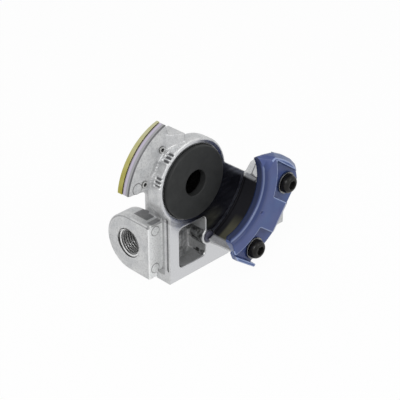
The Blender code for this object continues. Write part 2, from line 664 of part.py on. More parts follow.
def build_guide_fasteners(screw_material, washer_material):
    """Button head screw and washer at each end of the guide."""
    washer_low = at_depth(GUIDE_PAD_DEPTH) - SEAT_GAP - WASHER_THICK
    head_base = washer_low - SEAT_GAP
    head_top = head_base - SCREW_HEAD_LEN
    tip = at_depth(GUIDE_PAD_DEPTH) + SCREW_SHANK_LEN - 2 * SEAT_GAP
    rim = SCREW_HEAD_LEN / 8
    dome_r = SCREW_HEAD_R - SCREW_HEAD_TOP_R
    hole = SCREW_R + SEAT_GAP
    for name, spot in zip(("upper", "lower"), uv_outline(SCREW_SPOTS_UV)):
        ring = [(hole, washer_low), (WASHER_R, washer_low), (WASHER_R, washer_low + WASHER_THICK),
                (hole, washer_low + WASHER_THICK)]
        smooth(turned("guide_washer_" + name, ring, spot, "Y", washer_material, steps=24))
        profile = [(0.0, head_top)]
        for turn in (0.0, 22.5, 45.0, 67.5, 90.0):
            angle = math.radians(turn)
            profile.append((SCREW_HEAD_TOP_R + dome_r * math.sin(angle),
                            head_base - rim - (SCREW_HEAD_LEN - rim) * math.cos(angle)))
        profile += [(SCREW_HEAD_R, head_base), (SCREW_R, head_base), (SCREW_R, tip - SCREW_R / 4),
                    (SCREW_R * 0.75, tip), (0.0, tip)]
        screw = turned("guide_screw_" + name, profile, spot, "Y", screw_material, steps=24)
        socket = hexagon(spot, HEX_SOCKET_R)
        cut(screw, prism("socket", socket, head_top - MM, head_top + HEX_SOCKET_DEPTH, "Y"))
        smooth(screw)


# Wear plate and its rivets
def wear_plate_thickness(share):
    """Thickness of the plate at a share of its length, from the upper end down."""
    straight = WEAR_PLATE_THICK_UPPER + (WEAR_PLATE_THICK_LOWER - WEAR_PLATE_THICK_UPPER) * share
    middle = (WEAR_PLATE_THICK_UPPER + WEAR_PLATE_THICK_LOWER) / 2
    return straight + (WEAR_PLATE_THICK_MIDDLE - middle) * math.sin(math.pi * share) ** 0.5


def build_wear_plate(material):
    """Curved plate on the flange's back, thickest at its middle."""
    steps = 22
    outline = flange_outline(CUP_R + SEAT_GAP, steps)
    front = at_depth(FLANGE_REAR) + SEAT_GAP
    data = bmesh.new()
    sections = []
    for i in range(steps + 1):
        share = i / steps
        far = outline[i]
        near = outline[-1 - i]
        back = front + wear_plate_thickness(share)
        corners = [(near, front), (far, front), (far, back), (near, back)]
        sections.append([data.verts.new((p[0], y, p[1])) for p, y in corners])
    for first, second in zip(sections, sections[1:]):
        for k in range(4):
            j = (k + 1) % 4
            data.faces.new((first[k], first[j], second[j], second[k]))
    data.faces.new(list(reversed(sections[0])))
    data.faces.new(sections[-1])
    plate = make_object("wear_plate", data, material)
    for name, angle, from_cup in RIVETS:
        spot = polar_point(CUP_R + from_cup, angle)
        cut(plate, rod("rivet_hole", RIVET_R + SEAT_GAP, front - MM, front + 2 * WEAR_PLATE_THICK_MIDDLE,
                       spot, "Y", steps=16))
    smooth(plate)


def build_rivets(material):
    """Rivets through the flange and the wear plate, headed on both sides."""
    for name, angle, from_cup in RIVETS:
        spot = polar_point(CUP_R + from_cup, angle)
        share = (angle - FLANGE_START) / (FLANGE_END - FLANGE_START)
        front = at_depth(FLANGE_FRONT) - SEAT_GAP
        back = at_depth(FLANGE_REAR) + SEAT_GAP + wear_plate_thickness(share) + 3 * SEAT_GAP
        profile = [
            (0.0, front - RIVET_HEAD_THICK + RIVET_DIMPLE_R / 2), (RIVET_DIMPLE_R, front - RIVET_HEAD_THICK),
            (RIVET_HEAD_R - RIVET_HEAD_THICK / 2, front - RIVET_HEAD_THICK), (RIVET_HEAD_R, front),
            (RIVET_R, front), (RIVET_R, back), (RIVET_HEAD_R, back),
            (RIVET_HEAD_R - RIVET_HEAD_THICK / 2, back + RIVET_HEAD_THICK), (0.0, back + RIVET_HEAD_THICK),
        ]
        smooth(turned("wear_plate_rivet_" + name, profile, spot, "Y", material, steps=16))


def build_stop_pin(material):
    """Hardened pin at the end of the slot."""
    edge = STOP_PIN_R * 0.1
    front = at_depth(-STOP_PIN_PROUD)
    profile = [(0.0, front), (STOP_PIN_R - edge, front), (STOP_PIN_R, front + edge),
               (STOP_PIN_R, at_depth(STOP_PIN_LEN)), (0.0, at_depth(STOP_PIN_LEN))]
    smooth(turned("stop_pin", profile, (STOP_PIN_X, STOP_PIN_Z), "Y", material, steps=24))


# Sealing ring, its carrier and the valve
def build_seal_group(rubber, carrier_material, parent):
    """The pieces that are pushed in together when two heads are coupled."""
    face = -SEAL_PROUD
    back = CARRIER_FRONT - SEAT_GAP
    skirt = CARRIER_FRONT + CARRIER_FLANGE_THICK
    round_edge = 0.8 * MM
    skirt_r = CARRIER_FLANGE_R + SEAT_GAP
    outer = arc_points((SEAL_R - round_edge, face + round_edge), round_edge, -90.0, 0.0, 3)
    profile = [(SEAL_HOLE_R, face + round_edge / 2), (SEAL_HOLE_R + round_edge / 2, face)] + outer
    profile += [(SEAL_R, skirt), (skirt_r, skirt), (skirt_r, back), (SEAL_HOLE_R, back)]
    ring = seal_turned("sealing_ring", profile, rubber)
    rear = CARRIER_REAR
    groove = O_RING_GROOVE_FRONT
    groove_end = groove + 2 * (O_RING_SECTION_R + SEAT_GAP)
    groove_r = CARRIER_R - O_RING_GROOVE_DEPTH
    profile = [
        (CARRIER_BORE_R, CARRIER_FRONT), (CARRIER_FLANGE_R, CARRIER_FRONT), (CARRIER_FLANGE_R, skirt),
        (CARRIER_R, skirt), (CARRIER_R, groove), (groove_r, groove), (groove_r, groove_end),
        (CARRIER_R, groove_end), (CARRIER_R, rear), (CARRIER_SEAT_HOLE_R, rear),
        (CARRIER_SEAT_HOLE_R, CARRIER_SEAT_FRONT), (CARRIER_BORE_R, CARRIER_SEAT_FRONT),
    ]
    carrier = seal_turned("seal_carrier", profile, carrier_material, steps=36)
    middle = groove + O_RING_SECTION_R + SEAT_GAP
    section = arc_points((groove_r + SEAT_GAP + O_RING_SECTION_R, middle), O_RING_SECTION_R, 0.0, 315.0, 7)
    o_ring = seal_turned("carrier_o_ring", section, rubber, steps=32)
    for piece in (ring, carrier, o_ring):
        smooth(piece)
        piece.parent = parent


def build_spring(material):
    """Coil spring with closed ends between the carrier and its seat."""
    radius = (SPRING_SEAT_IN_R + SEAT_GAP + CARRIER_R) / 2
    low = CARRIER_REAR + SEAT_GAP + SPRING_WIRE_R
    high = SPRING_SEAT_FRONT - SEAT_GAP - SPRING_WIRE_R
    steps = int(SPRING_TURNS * 18)
    sides = 6
    data = bmesh.new()
    rings = []
    for i in range(steps + 1):
        share = i / steps
        turn = share * SPRING_TURNS * 2 * math.pi
        rise = low + (high - low) * share
        out = Vector((math.cos(turn), 0.0, math.sin(turn)))
        middle = out * radius + Vector((0.0, at_depth(rise), SEAL_AXIS_Z))
        ring = []
        for k in range(sides):
            angle = 2 * math.pi * k / sides
            offset = out * math.cos(angle) + Vector((0.0, math.sin(angle), 0.0))
            ring.append(data.verts.new(middle + offset * SPRING_WIRE_R))
        rings.append(ring)
    for first, second in zip(rings, rings[1:]):
        for k in range(sides):
            j = (k + 1) % sides
            data.faces.new((first[k], first[j], second[j], second[k]))
    data.faces.new(list(reversed(rings[0])))
    data.faces.new(rings[-1])
    smooth(make_object("carrier_spring", data, material), 60.0)


def build_valve(bright_steel, dark_steel, brass, rubber):
    """Fixed valve: post, spring seat, rubber disc, cap, lock washer and screw."""
    foot = POST_FOOT_FRONT
    hole = VALVE_SCREW_R + SEAT_GAP
    foot_r = BORE_R - SEAT_GAP
    seal = VALVE_SEAL_FRONT
    profile = [
        (hole, seal), (POST_TIP_R, seal), (POST_TIP_R, seal + VALVE_SEAL_THICK + SEAT_GAP),
        (POST_R, seal + VALVE_SEAL_THICK + SEAT_GAP), (POST_R, foot), (foot_r, foot),
        (foot_r, foot + POST_FOOT_THICK), (hole, foot + POST_FOOT_THICK),
    ]
    smooth(seal_turned("valve_post", profile, brass, steps=32))
    seat = SPRING_SEAT_FRONT
    seat_end = seat + SPRING_SEAT_THICK
    ring = [(SPRING_SEAT_IN_R, seat), (foot_r, seat), (foot_r, seat_end), (SPRING_SEAT_IN_R, seat_end)]
    smooth(seal_turned("spring_seat", ring, bright_steel, steps=32))
    inner = POST_TIP_R + SEAT_GAP
    seal_end = seal + VALVE_SEAL_THICK
    disc = [(inner, seal), (VALVE_R, seal), (VALVE_R, seal_end), (inner, seal_end)]
    smooth(seal_turned("valve_seal", disc, rubber, steps=28))
    cap = VALVE_CAP_FRONT
    cap_end = cap + VALVE_CAP_THICK
    edge = VALVE_CAP_THICK / 3
    plate = [(hole, cap), (VALVE_R - edge, cap), (VALVE_R, cap + edge), (VALVE_R, cap_end), (hole, cap_end)]
    smooth(seal_turned("valve_cap", plate, dark_steel, steps=28))
    washer = LOCK_WASHER_FRONT
    washer_end = washer + LOCK_WASHER_THICK
    ring = [(hole, washer), (LOCK_WASHER_R, washer), (LOCK_WASHER_R, washer_end), (hole, washer_end)]
    smooth(seal_turned("valve_lock_washer", ring, dark_steel, steps=20))
    base = washer - SEAT_GAP
    top = base - VALVE_SCREW_HEAD_LEN
    tip = CHAMBER_FLOOR + VALVE_SCREW_GRIP
    profile = [(0.0, top), (VALVE_SCREW_HEAD_R - edge, top), (VALVE_SCREW_HEAD_R, top + edge),
               (VALVE_SCREW_HEAD_R, base), (VALVE_SCREW_R, base), (VALVE_SCREW_R, tip), (0.0, tip)]
    screw = seal_turned("valve_screw", profile, dark_steel, steps=20)
    socket = hexagon((0.0, SEAL_AXIS_Z), VALVE_SCREW_R)
    cut(screw, prism("socket", socket, at_depth(top) - MM, at_depth(top) + VALVE_SCREW_HEAD_LEN / 2, "Y"))
    smooth(screw)


def remove_old_objects():
    for piece in list(bpy.data.objects):
        bpy.data.objects.remove(piece)


def main():
    remove_old_objects()
    cast_aluminium = make_material("cast_aluminium", (0.62, 0.62, 0.63), 0.42, 1.0)
    blue_paint = make_material("blue_paint", (0.06, 0.09, 0.24), 0.38)
    black_rubber = make_material("black_rubber", (0.03, 0.03, 0.03), 0.6)
    yellow_zinc = make_material("yellow_zinc", (0.62, 0.55, 0.25), 0.3, 1.0)
    black_steel = make_material("black_steel", (0.02, 0.02, 0.02), 0.4, 0.7)
    bright_steel = make_material("bright_steel", (0.5, 0.5, 0.5), 0.3, 1.0)
    dark_steel = make_material("dark_steel", (0.12, 0.12, 0.12), 0.35, 1.0)
    brass = make_material("brass", (0.7, 0.5, 0.2), 0.3, 1.0)
    build_body(cast_aluminium)
    build_guide(blue_paint)
    build_guide_fasteners(black_steel, bright_steel)
    build_wear_plate(yellow_zinc)
    build_rivets(bright_steel)
    build_stop_pin(bright_steel)
    push_axis = bpy.data.objects.new("seal_push_axis", None)
    bpy.context.collection.objects.link(push_axis)
    push_axis.location = (0.0, FACE_Y, SEAL_AXIS_Z)
    bpy.context.view_layer.update()
    build_seal_group(black_rubber, dark_steel, push_axis)
    for piece in push_axis.children:
        piece.matrix_parent_inverse = Matrix.Translation(-push_axis.location)
    build_spring(bright_steel)
    build_valve(bright_steel, dark_steel, brass, black_rubber)


main()
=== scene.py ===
import math

import bmesh
import bpy
import numpy
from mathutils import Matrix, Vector


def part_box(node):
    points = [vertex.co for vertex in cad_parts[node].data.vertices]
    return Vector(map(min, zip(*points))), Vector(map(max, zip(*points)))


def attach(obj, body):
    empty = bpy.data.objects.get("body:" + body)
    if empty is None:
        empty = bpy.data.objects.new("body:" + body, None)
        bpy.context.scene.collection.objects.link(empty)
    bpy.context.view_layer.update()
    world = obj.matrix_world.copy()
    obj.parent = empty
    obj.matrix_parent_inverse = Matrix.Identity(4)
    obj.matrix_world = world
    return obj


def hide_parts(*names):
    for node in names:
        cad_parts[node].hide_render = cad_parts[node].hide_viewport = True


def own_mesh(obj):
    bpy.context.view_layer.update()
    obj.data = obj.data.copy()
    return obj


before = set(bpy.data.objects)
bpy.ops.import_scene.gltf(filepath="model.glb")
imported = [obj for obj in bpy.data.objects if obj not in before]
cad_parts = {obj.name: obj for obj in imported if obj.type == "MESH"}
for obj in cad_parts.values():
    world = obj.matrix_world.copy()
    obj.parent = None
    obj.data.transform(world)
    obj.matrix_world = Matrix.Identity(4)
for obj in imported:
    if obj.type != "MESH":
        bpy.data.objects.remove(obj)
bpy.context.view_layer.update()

# The head is a pressure die casting in aluminium alloy: hose port, open foot, valve chamber,
# cup, flange and arm in one piece, with soft edges and a fine cast skin. The contact face,
# the flange's rim and the slot's wall are machined afterwards.
MM = 0.001
CONTACT_Y = -25.8 * MM
SEAL_AXIS = (0.0, 54.4 * MM)
CUP_R = 23.4 * MM
CUP_SIDE_X = CUP_R / 3
RIM_CENTRE = (0.0, 51.8 * MM)
RIM_R = 38.2 * MM
RIM_FRONT_Y = -19.3 * MM
FLANGE_FOOT_Z = 55.0 * MM
SLOT_WALL_R = 39.0 * MM
SLOT_DEPTH = 17.0 * MM
ARM_TURN = math.radians(-36.5)
PORT_AXIS = (0.0, 16.5 * MM)
PORT_MOUTH_X = -21.9 * MM
PORT_BLOCK_R = 16.1 * MM
PORT_BLOCK_END_X = -9.0 * MM
PORT_BORE_R = 8.3 * MM
BLOCK_SIDE_Y = -15.5 * MM
PIN_MARKS = (
    ((-17.6 * MM, 6.2 * MM), BLOCK_SIDE_Y, 2.6 * MM),
    ((-17.0 * MM, 28.3 * MM), BLOCK_SIDE_Y, 2.6 * MM),
    ((-31.5 * MM, 60.0 * MM), RIM_FRONT_Y, 2.85 * MM),
)
CAST_GRID = 0.4 * MM
CAST_PASSES = 4
CAST_TRIANGLES = 190000


def soft_copy(node, grid, passes, most_triangles):
    """A solid's mesh again on a fine grid, its edges worn round as a casting's are."""
    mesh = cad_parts[node].data.copy()
    shape = bmesh.new()
    shape.from_mesh(mesh)
    bmesh.ops.remove_doubles(shape, verts=shape.verts, dist=0.001 * MM)
    shape.to_mesh(mesh)
    shape.free()
    blank = bpy.data.objects.new(node + "_blank", mesh)
    bpy.context.collection.objects.link(blank)
    remesh = blank.modifiers.new("grid", "REMESH")
    remesh.mode = "VOXEL"
    remesh.voxel_size = grid
    wear = blank.modifiers.new("wear", "SMOOTH")
    wear.factor = 0.5
    wear.iterations = passes
    count = 2 * len(blank.evaluated_get(bpy.context.evaluated_depsgraph_get()).data.polygons)
    if count > most_triangles:
        thin = blank.modifiers.new("thin", "DECIMATE")
        thin.ratio = most_triangles / count
    soft = bpy.data.meshes.new_from_object(blank.evaluated_get(bpy.context.evaluated_depsgraph_get()))
    bpy.data.objects.remove(blank)
    soft.shade_smooth()
    soft.materials.clear()
    return soft


def true_round(mesh, across, centre, sides, reach, span):
    """Moves points of a turned surface out from its flats onto the true circle. The axis lies
    along Y where across is 0, and along X where it is 1; reach and span are in radius and along it."""
    points = numpy.empty(len(mesh.vertices) * 3, dtype=numpy.float32)
    mesh.vertices.foreach_get("co", points)
    points = points.reshape(-1, 3)
    level = points[:, 1 - across]
    out = points[:, across] - centre[0]
    up = points[:, 2] - centre[1]
    radius = numpy.hypot(out, up)
    half = math.pi / sides
    turn = numpy.mod(numpy.arctan2(up, out), 2 * half) - half
    chosen = (radius > reach[0]) & (radius < reach[1]) & (level > span[0]) & (level < span[1])
    stretch = numpy.where(chosen, numpy.cos(turn) / math.cos(half), 1.0)
    points[:, across] = centre[0] + out * stretch
    points[:, 2] = centre[1] + up * stretch
    mesh.vertices.foreach_set("co", points.ravel())
    mesh.update()


def start_finish(name, colour, roughness, metallic):
    """A new finish with its shader set: the node tree, the shader and the place of each point."""
    finish = bpy.data.materials.new(name)
    finish.use_nodes = True
    tree = finish.node_tree
    shader = tree.nodes["Principled BSDF"]
    shader.inputs["Base Color"].default_value = (*colour, 1.0)
    shader.inputs["Roughness"].default_value = roughness
    shader.inputs["Metallic"].default_value = metallic
    place = tree.nodes.new("ShaderNodeTexCoord").outputs["Object"]
    return finish, tree, shader, place


def put(tree, kind, inputs, **settings):
    """A node with its settings made and its sockets given a value or joined to another socket."""
    made = tree.nodes.new(kind)
    for name, value in settings.items():
        setattr(made, name, value)
    for name, value in inputs.items():
        if isinstance(value, bpy.types.NodeSocket):
            tree.links.new(value, made.inputs[name])
        else:
            made.inputs[name].default_value = value
    return made


def mottle(tree, place, size, detail=3.0):
    """Soft random patches of about one size."""
    noise = put(tree, "ShaderNodeTexNoise", {"Vector": place, "Scale": 1.0 / size, "Detail": detail})
    return noise.outputs["Fac"]


def spread(tree, value, low, high, start=0.3, end=0.7):
    """A pattern's values brought between two levels."""
    return put(tree, "ShaderNodeMapRange", {"Value": value, "From Min": start, "From Max": end,
                                            "To Min": low, "To Max": high}).outputs["Result"]


def tint(tree, value, *colours):
    """A pattern turned into colours, spaced evenly from its low to its high values."""
    ramp = put(tree, "ShaderNodeValToRGB", {"Fac": value})
    stops = ramp.color_ramp.elements
    for i, colour in enumerate(colours):
        spot = 0.3 + 0.4 * i / max(1, len(colours) - 1)
        stop = stops[i] if i < 2 else stops.new(spot)
        stop.position = spot
        stop.color = (*colour, 1.0)
    return ramp.outputs["Color"]


def emboss(tree, height, depth, under=None):
    """A relief of one depth, on top of another relief if there is one."""
    inputs = {"Height": height, "Distance": depth, "Strength": 1.0}
    if under:
        inputs["Normal"] = under
    return put(tree, "ShaderNodeBump", inputs).outputs["Normal"]


def mix_colour(tree, share, first, second):
    """One colour turning into another by a share. Each is a socket or three numbers."""
    mixer = put(tree, "ShaderNodeMix", {0: share}, data_type="RGBA")
    for socket, value in ((mixer.inputs[6], first), (mixer.inputs[7], second)):
        if isinstance(value, bpy.types.NodeSocket):
            tree.links.new(value, socket)
        else:
            socket.default_value = (*value, 1.0)
    return mixer.outputs[2]


def mix_number(tree, share, first, second):
    """One number turning into another by a share."""
    return put(tree, "ShaderNodeMix", {0: share, 2: first, 3: second}).outputs[0]


def sum_up(tree, operation, first, second=0.0, third=0.0):
    """One arithmetic step on sockets or numbers."""
    return put(tree, "ShaderNodeMath", {0: first, 1: second, 2: third}, operation=operation).outputs[0]


def all_of(tree, *shares):
    """The product of several shares."""
    product = shares[0]
    for share in shares[1:]:
        product = sum_up(tree, "MULTIPLY", product, share)
    return product


def within(tree, value, low, high, soft=0.15 * MM):
    """1 where a value lies between two levels, fading to 0 a short way outside them."""
    rise = spread(tree, value, 0.0, 1.0, low - soft, low)
    fall = spread(tree, value, 1.0, 0.0, high, high + soft)
    return sum_up(tree, "MULTIPLY", rise, fall)


def split(tree, place):
    """The three coordinates of each point."""
    parts = put(tree, "ShaderNodeSeparateXYZ", {"Vector": place}).outputs
    return parts["X"], parts["Y"], parts["Z"]


def length_of(tree, first, second):
    """How long two steps at right angles reach together."""
    squared = sum_up(tree, "MULTIPLY", second, second)
    return sum_up(tree, "SQRT", sum_up(tree, "MULTIPLY_ADD", first, first, squared))


def ring_distance(tree, place, centre):
    """Each point's distance from an axis along Y."""
    x, _, z = split(tree, place)
    return length_of(tree, sum_up(tree, "SUBTRACT", x, centre[0]), sum_up(tree, "SUBTRACT", z, centre[1]))


def towards(tree, place, turn):
    """How far each point lies from the seal's axis in one direction, turned up from +X."""
    x, _, z = split(tree, place)
    up = sum_up(tree, "SUBTRACT", z, SEAL_AXIS[1])
    return sum_up(tree, "MULTIPLY_ADD", x, math.cos(turn), sum_up(tree, "MULTIPLY", up, math.sin(turn)))


def along_line(tree, first, second, start, end, half):
    """1 close to a straight line drawn between two points in the plane of two coordinates."""
    step = (end[0] - start[0], end[1] - start[1])
    length = math.hypot(*step)
    over = sum_up(tree, "SUBTRACT", first, start[0])
    up = sum_up(tree, "SUBTRACT", second, start[1])
    along = sum_up(tree, "MULTIPLY_ADD", over, step[0] / length,
                   sum_up(tree, "MULTIPLY", up, step[1] / length))
    aside = sum_up(tree, "MULTIPLY_ADD", over, -step[1] / length,
                   sum_up(tree, "MULTIPLY", up, step[0] / length))
    return all_of(tree, within(tree, along, 0.0, length), within(tree, aside, -half, half, 0.1 * MM))


# The finish tells the casting's faces and hollows apart by these reaches: the slot's wall and
# web lie across and along the arm, and the open foot's pocket carries pale painted glints at its lower
# rear.
ON_FACE = 0.08 * MM
ARM_SIDE = ARM_TURN + math.pi / 2
WALL_FILLET = 2.4 * MM
WALL_ACROSS = (-20.6 * MM, 12.6 * MM)
WALL_FOOT_Y = (CONTACT_Y - 1.5 * MM, CONTACT_Y + MM)
OLIVE_Y = (-35.5 * MM, -31.0 * MM)
OLIVE_ACROSS = (-14.0 * MM, -6.0 * MM)
WEB_START = (5.0 * MM, 12.0 * MM)
WEB_LOWER_END = (-23.0 * MM, -19.8 * MM)
WEB_UPPER_END = (15.4 * MM, 19.0 * MM)
BORE_END_X = -5.0 * MM
POCKET_X = (-9.8 * MM, 9.0 * MM)
POCKET_Y = (CONTACT_Y + 1.2 * MM, -9.0 * MM)
POCKET_Z = (7.0 * MM, 30.2 * MM)
DEEP_Y = (-17.5 * MM, -14.5 * MM)
DEEP_Z = (15.0 * MM, 21.0 * MM)


def casting_places(tree, place):
    """By name, how far each point lies on each face or in each hollow that is finished its own way."""
    x, y, z = split(tree, place)
    along_arm = towards(tree, place, ARM_TURN)
    across_arm = towards(tree, place, ARM_SIDE)
    from_seal_axis = ring_distance(tree, place, SEAL_AXIS)
    from_port_axis = length_of(tree, sum_up(tree, "SUBTRACT", z, PORT_AXIS[1]), y)
    milled = sum_up(tree, "COMPARE", y, CONTACT_Y, ON_FACE)
    rim = all_of(tree, sum_up(tree, "COMPARE", ring_distance(tree, place, RIM_CENTRE), RIM_R, ON_FACE),
                 sum_up(tree, "LESS_THAN", x, -CUP_SIDE_X), sum_up(tree, "GREATER_THAN", z, FLANGE_FOOT_Z))
    wall = all_of(tree, within(tree, from_seal_axis, SLOT_WALL_R - WALL_FILLET, SLOT_WALL_R + ON_FACE),
                  sum_up(tree, "GREATER_THAN", x, CUP_SIDE_X),
                  within(tree, y, CONTACT_Y - SLOT_DEPTH, CONTACT_Y + 0.8 * MM),
                  within(tree, across_arm, *WALL_ACROSS, 1.2 * MM))
    pocket = all_of(tree, within(tree, x, *POCKET_X, 0.3 * MM), within(tree, z, *POCKET_Z, 0.3 * MM),
                    within(tree, y, *POCKET_Y, MM))
    return {
        "milled": milled,
        "rim": rim,
        "wall": wall,
        "wall foot": all_of(tree, wall, within(tree, y, *WALL_FOOT_Y)),
        "olive": all_of(tree, within(tree, y, *OLIVE_Y, 1.5 * MM),
                        spread(tree, across_arm, 1.0, 0.0, *OLIVE_ACROSS)),
        "web": all_of(tree, milled, spread(tree, along_arm, 0.0, 1.0, *WEB_START),
                      spread(tree, across_arm, 0.0, 1.0, *WEB_LOWER_END),
                      spread(tree, across_arm, 1.0, 0.0, *WEB_UPPER_END)),
        "bore": all_of(tree, sum_up(tree, "LESS_THAN", from_port_axis, PORT_BORE_R),
                       within(tree, x, PORT_MOUTH_X, BORE_END_X)),
        "pocket": pocket,
        "deep": all_of(tree, pocket, spread(tree, y, 0.0, 1.0, *DEEP_Y),
                       spread(tree, z, 1.0, 0.25, *DEEP_Z)),
        "block side": all_of(tree, sum_up(tree, "COMPARE", y, BLOCK_SIDE_Y, 0.3 * MM),
                             sum_up(tree, "LESS_THAN", x, PORT_BLOCK_END_X)),
    }


# Shade is painted on the cast skin in these places. A box has its reach in millimetres along
# x, y and z, each with its soft edge, and then how dark it is.
SHADE_BOXES = (
    # Corner between the port block's flat side and the foot's left wall
    ((-12.2, -9.0, 0.3), (-21.2, -15.1, 0.15), (6.0, 33.0, 1.0), 0.5),
    # Groove down the foot's left side
    ((-16.5, -14.0, 0.15), (-24.5, -23.3, 0.15), (7.0, 41.0, 0.15), 0.12),
    # Flat on top of the port block, and the edge in front of it
    ((-17.7, -10.9, 0.3), (-10.0, -0.3, 0.3), (32.2, 33.0, 0.15), 0.7),
    ((-19.3, -12.5, 0.5), (-15.6, -12.2, 0.5), (31.4, 33.0, 0.15), 0.55),
)
SIDE_POCKET_Y = (-24.8 * MM, -21.3 * MM)
SIDE_FLAT_Y = (-24.8 * MM, -18.9 * MM)
SIDE_FLAT_Z = (64.3 * MM, 70.4 * MM)
UNDER_CUP_Y = (-24.9 * MM, -12.0 * MM)
UNDER_CUP_Z = (47.5 * MM, 50.5 * MM)
BLOCK_EDGE_Z = (22.0 * MM, 28.0 * MM)
# A dark spot is painted at the port block's upper corner, and a dark zigzag line on the casting behind the
# guide.
CORNER_SPOT = (-21.7 * MM, 31.8 * MM)
CORNER_SPOT_R = 0.9 * MM
CORNER_SPOT_BACK_Y = -14.6 * MM
DARK_ZIGZAG = (
    (-29.2 * MM, 50.5 * MM),
    (-30.0 * MM, 45.6 * MM),
    (-35.4 * MM, 44.9 * MM),
    (-32.2 * MM, 41.6 * MM),
)
DARK_ZIGZAG_X = (34.0 * MM, 43.5 * MM)
DARK_ZIGZAG_HALF = 0.25 * MM


def painted_dark_places(tree, place):
    """Pairs of how far each point lies in a place painted dark, and how dark it is there: painted shade
    along the rim's edge, in the side pockets, on the flat beside them, under the cup, along the port
    block's edge and in the boxes, and a dark spot and a dark zigzag line.
    """
    x, y, z = split(tree, place)
    from_seal_axis = ring_distance(tree, place, SEAL_AXIS)
    on_left = sum_up(tree, "LESS_THAN", x, -CUP_SIDE_X)
    rim_edge = all_of(tree, on_left, sum_up(tree, "GREATER_THAN", z, FLANGE_FOOT_Z),
                      within(tree, ring_distance(tree, place, RIM_CENTRE), RIM_R - 0.6 * MM, RIM_R + MM),
                      within(tree, y, RIM_FRONT_Y - MM, RIM_FRONT_Y + 0.45 * MM))
    side_pocket = all_of(tree, within(tree, from_seal_axis, CUP_R - 1.5 * MM, CUP_R - 0.75 * MM, 0.1 * MM),
                         on_left, within(tree, y, *SIDE_POCKET_Y))
    side_flat = all_of(tree, within(tree, from_seal_axis, CUP_R - 0.6 * MM, CUP_R + 1.6 * MM, 0.3 * MM),
                       on_left, within(tree, y, *SIDE_FLAT_Y), within(tree, z, *SIDE_FLAT_Z, 0.3 * MM))
    under_cup = all_of(tree, within(tree, from_seal_axis, CUP_R - 0.8 * MM, CUP_R + 1.2 * MM, 0.3 * MM),
                       on_left, spread(tree, z, 1.0, 0.0, *UNDER_CUP_Z),
                       within(tree, y, *UNDER_CUP_Y, 2 * MM),
                       spread(tree, mottle(tree, place, 2 * MM), 0.5, 1.0))
    from_block_axis = length_of(tree, sum_up(tree, "MAXIMUM", y, 0.0),
                                sum_up(tree, "SUBTRACT", z, PORT_AXIS[1]))
    block_edge = all_of(tree, sum_up(tree, "LESS_THAN", x, PORT_MOUTH_X),
                        within(tree, from_block_axis, PORT_BLOCK_R - 1.1 * MM, PORT_BLOCK_R - 0.6 * MM),
                        spread(tree, z, 0.0, 1.0, *BLOCK_EDGE_Z))
    corner_spot = all_of(tree, sum_up(tree, "LESS_THAN", ring_distance(tree, place, CORNER_SPOT), CORNER_SPOT_R),
                  sum_up(tree, "LESS_THAN", y, CORNER_SPOT_BACK_Y))
    dark_zigzag = 0.0
    for start, end in zip(DARK_ZIGZAG, DARK_ZIGZAG[1:]):
        dark_zigzag = sum_up(tree, "MAXIMUM", dark_zigzag, along_line(tree, y, z, start, end, DARK_ZIGZAG_HALF))
    dark_zigzag = all_of(tree, dark_zigzag, within(tree, x, *DARK_ZIGZAG_X))
    places = [(rim_edge, 0.8), (side_pocket, 0.75), (side_flat, 0.2), (under_cup, 0.6), (block_edge, 0.4),
              (corner_spot, 0.6), (dark_zigzag, 0.75)]
    for *reaches, dark in SHADE_BOXES:
        sides = [within(tree, way, low * MM, high * MM, soft * MM)
                 for way, (low, high, soft) in zip((x, y, z), reaches)]
        places.append((all_of(tree, *sides), dark))
    return places


# The casting is silver grey, painted pale on the port block's flat side as painted light.
# Painted shade darkens its creases, hollows and the slot's wall, and a painted dark reflection lies on the
# web.
SKIN_TONES = ((0.50, 0.51, 0.52), (0.58, 0.585, 0.59), (0.64, 0.645, 0.645))
PAINTED_LIGHT_SKIN = (0.92, 0.93, 0.93)
SPECKS = (0.16, 0.16, 0.16)
CREASE_SHADE = (0.03, 0.03, 0.03)
PAINTED_DARK = (0.03, 0.03, 0.035)
POCKET_SHADE = (0.02, 0.022, 0.022)
GLINT_TONES = ((0.4, 0.4, 0.4), (0.98, 0.98, 0.98))
MILLED_GREY = (0.60, 0.605, 0.62)
RIM_GREY = (0.36, 0.36, 0.37)
RIM_LILAC = (0.50, 0.46, 0.56)
RIM_BROWN = (0.07, 0.03, 0.02)
RIM_LILAC_Y = (-17.6 * MM, -17.1 * MM)
RIM_BROWN_Y = (-15.9 * MM, -15.6 * MM)
MARK_RING = (0.08, 0.08, 0.08)
BORE_SHADE = (0.05, 0.05, 0.05)
WALL_SHADE = (0.03, 0.03, 0.034)
WALL_OLIVE_SHADE = (0.15, 0.145, 0.10)
WALL_FOOT_SHADE = (0.012, 0.012, 0.014)
WEB_REFLECTION_TONES = ((0.09, 0.095, 0.12), (0.15, 0.155, 0.19), (0.26, 0.27, 0.31))


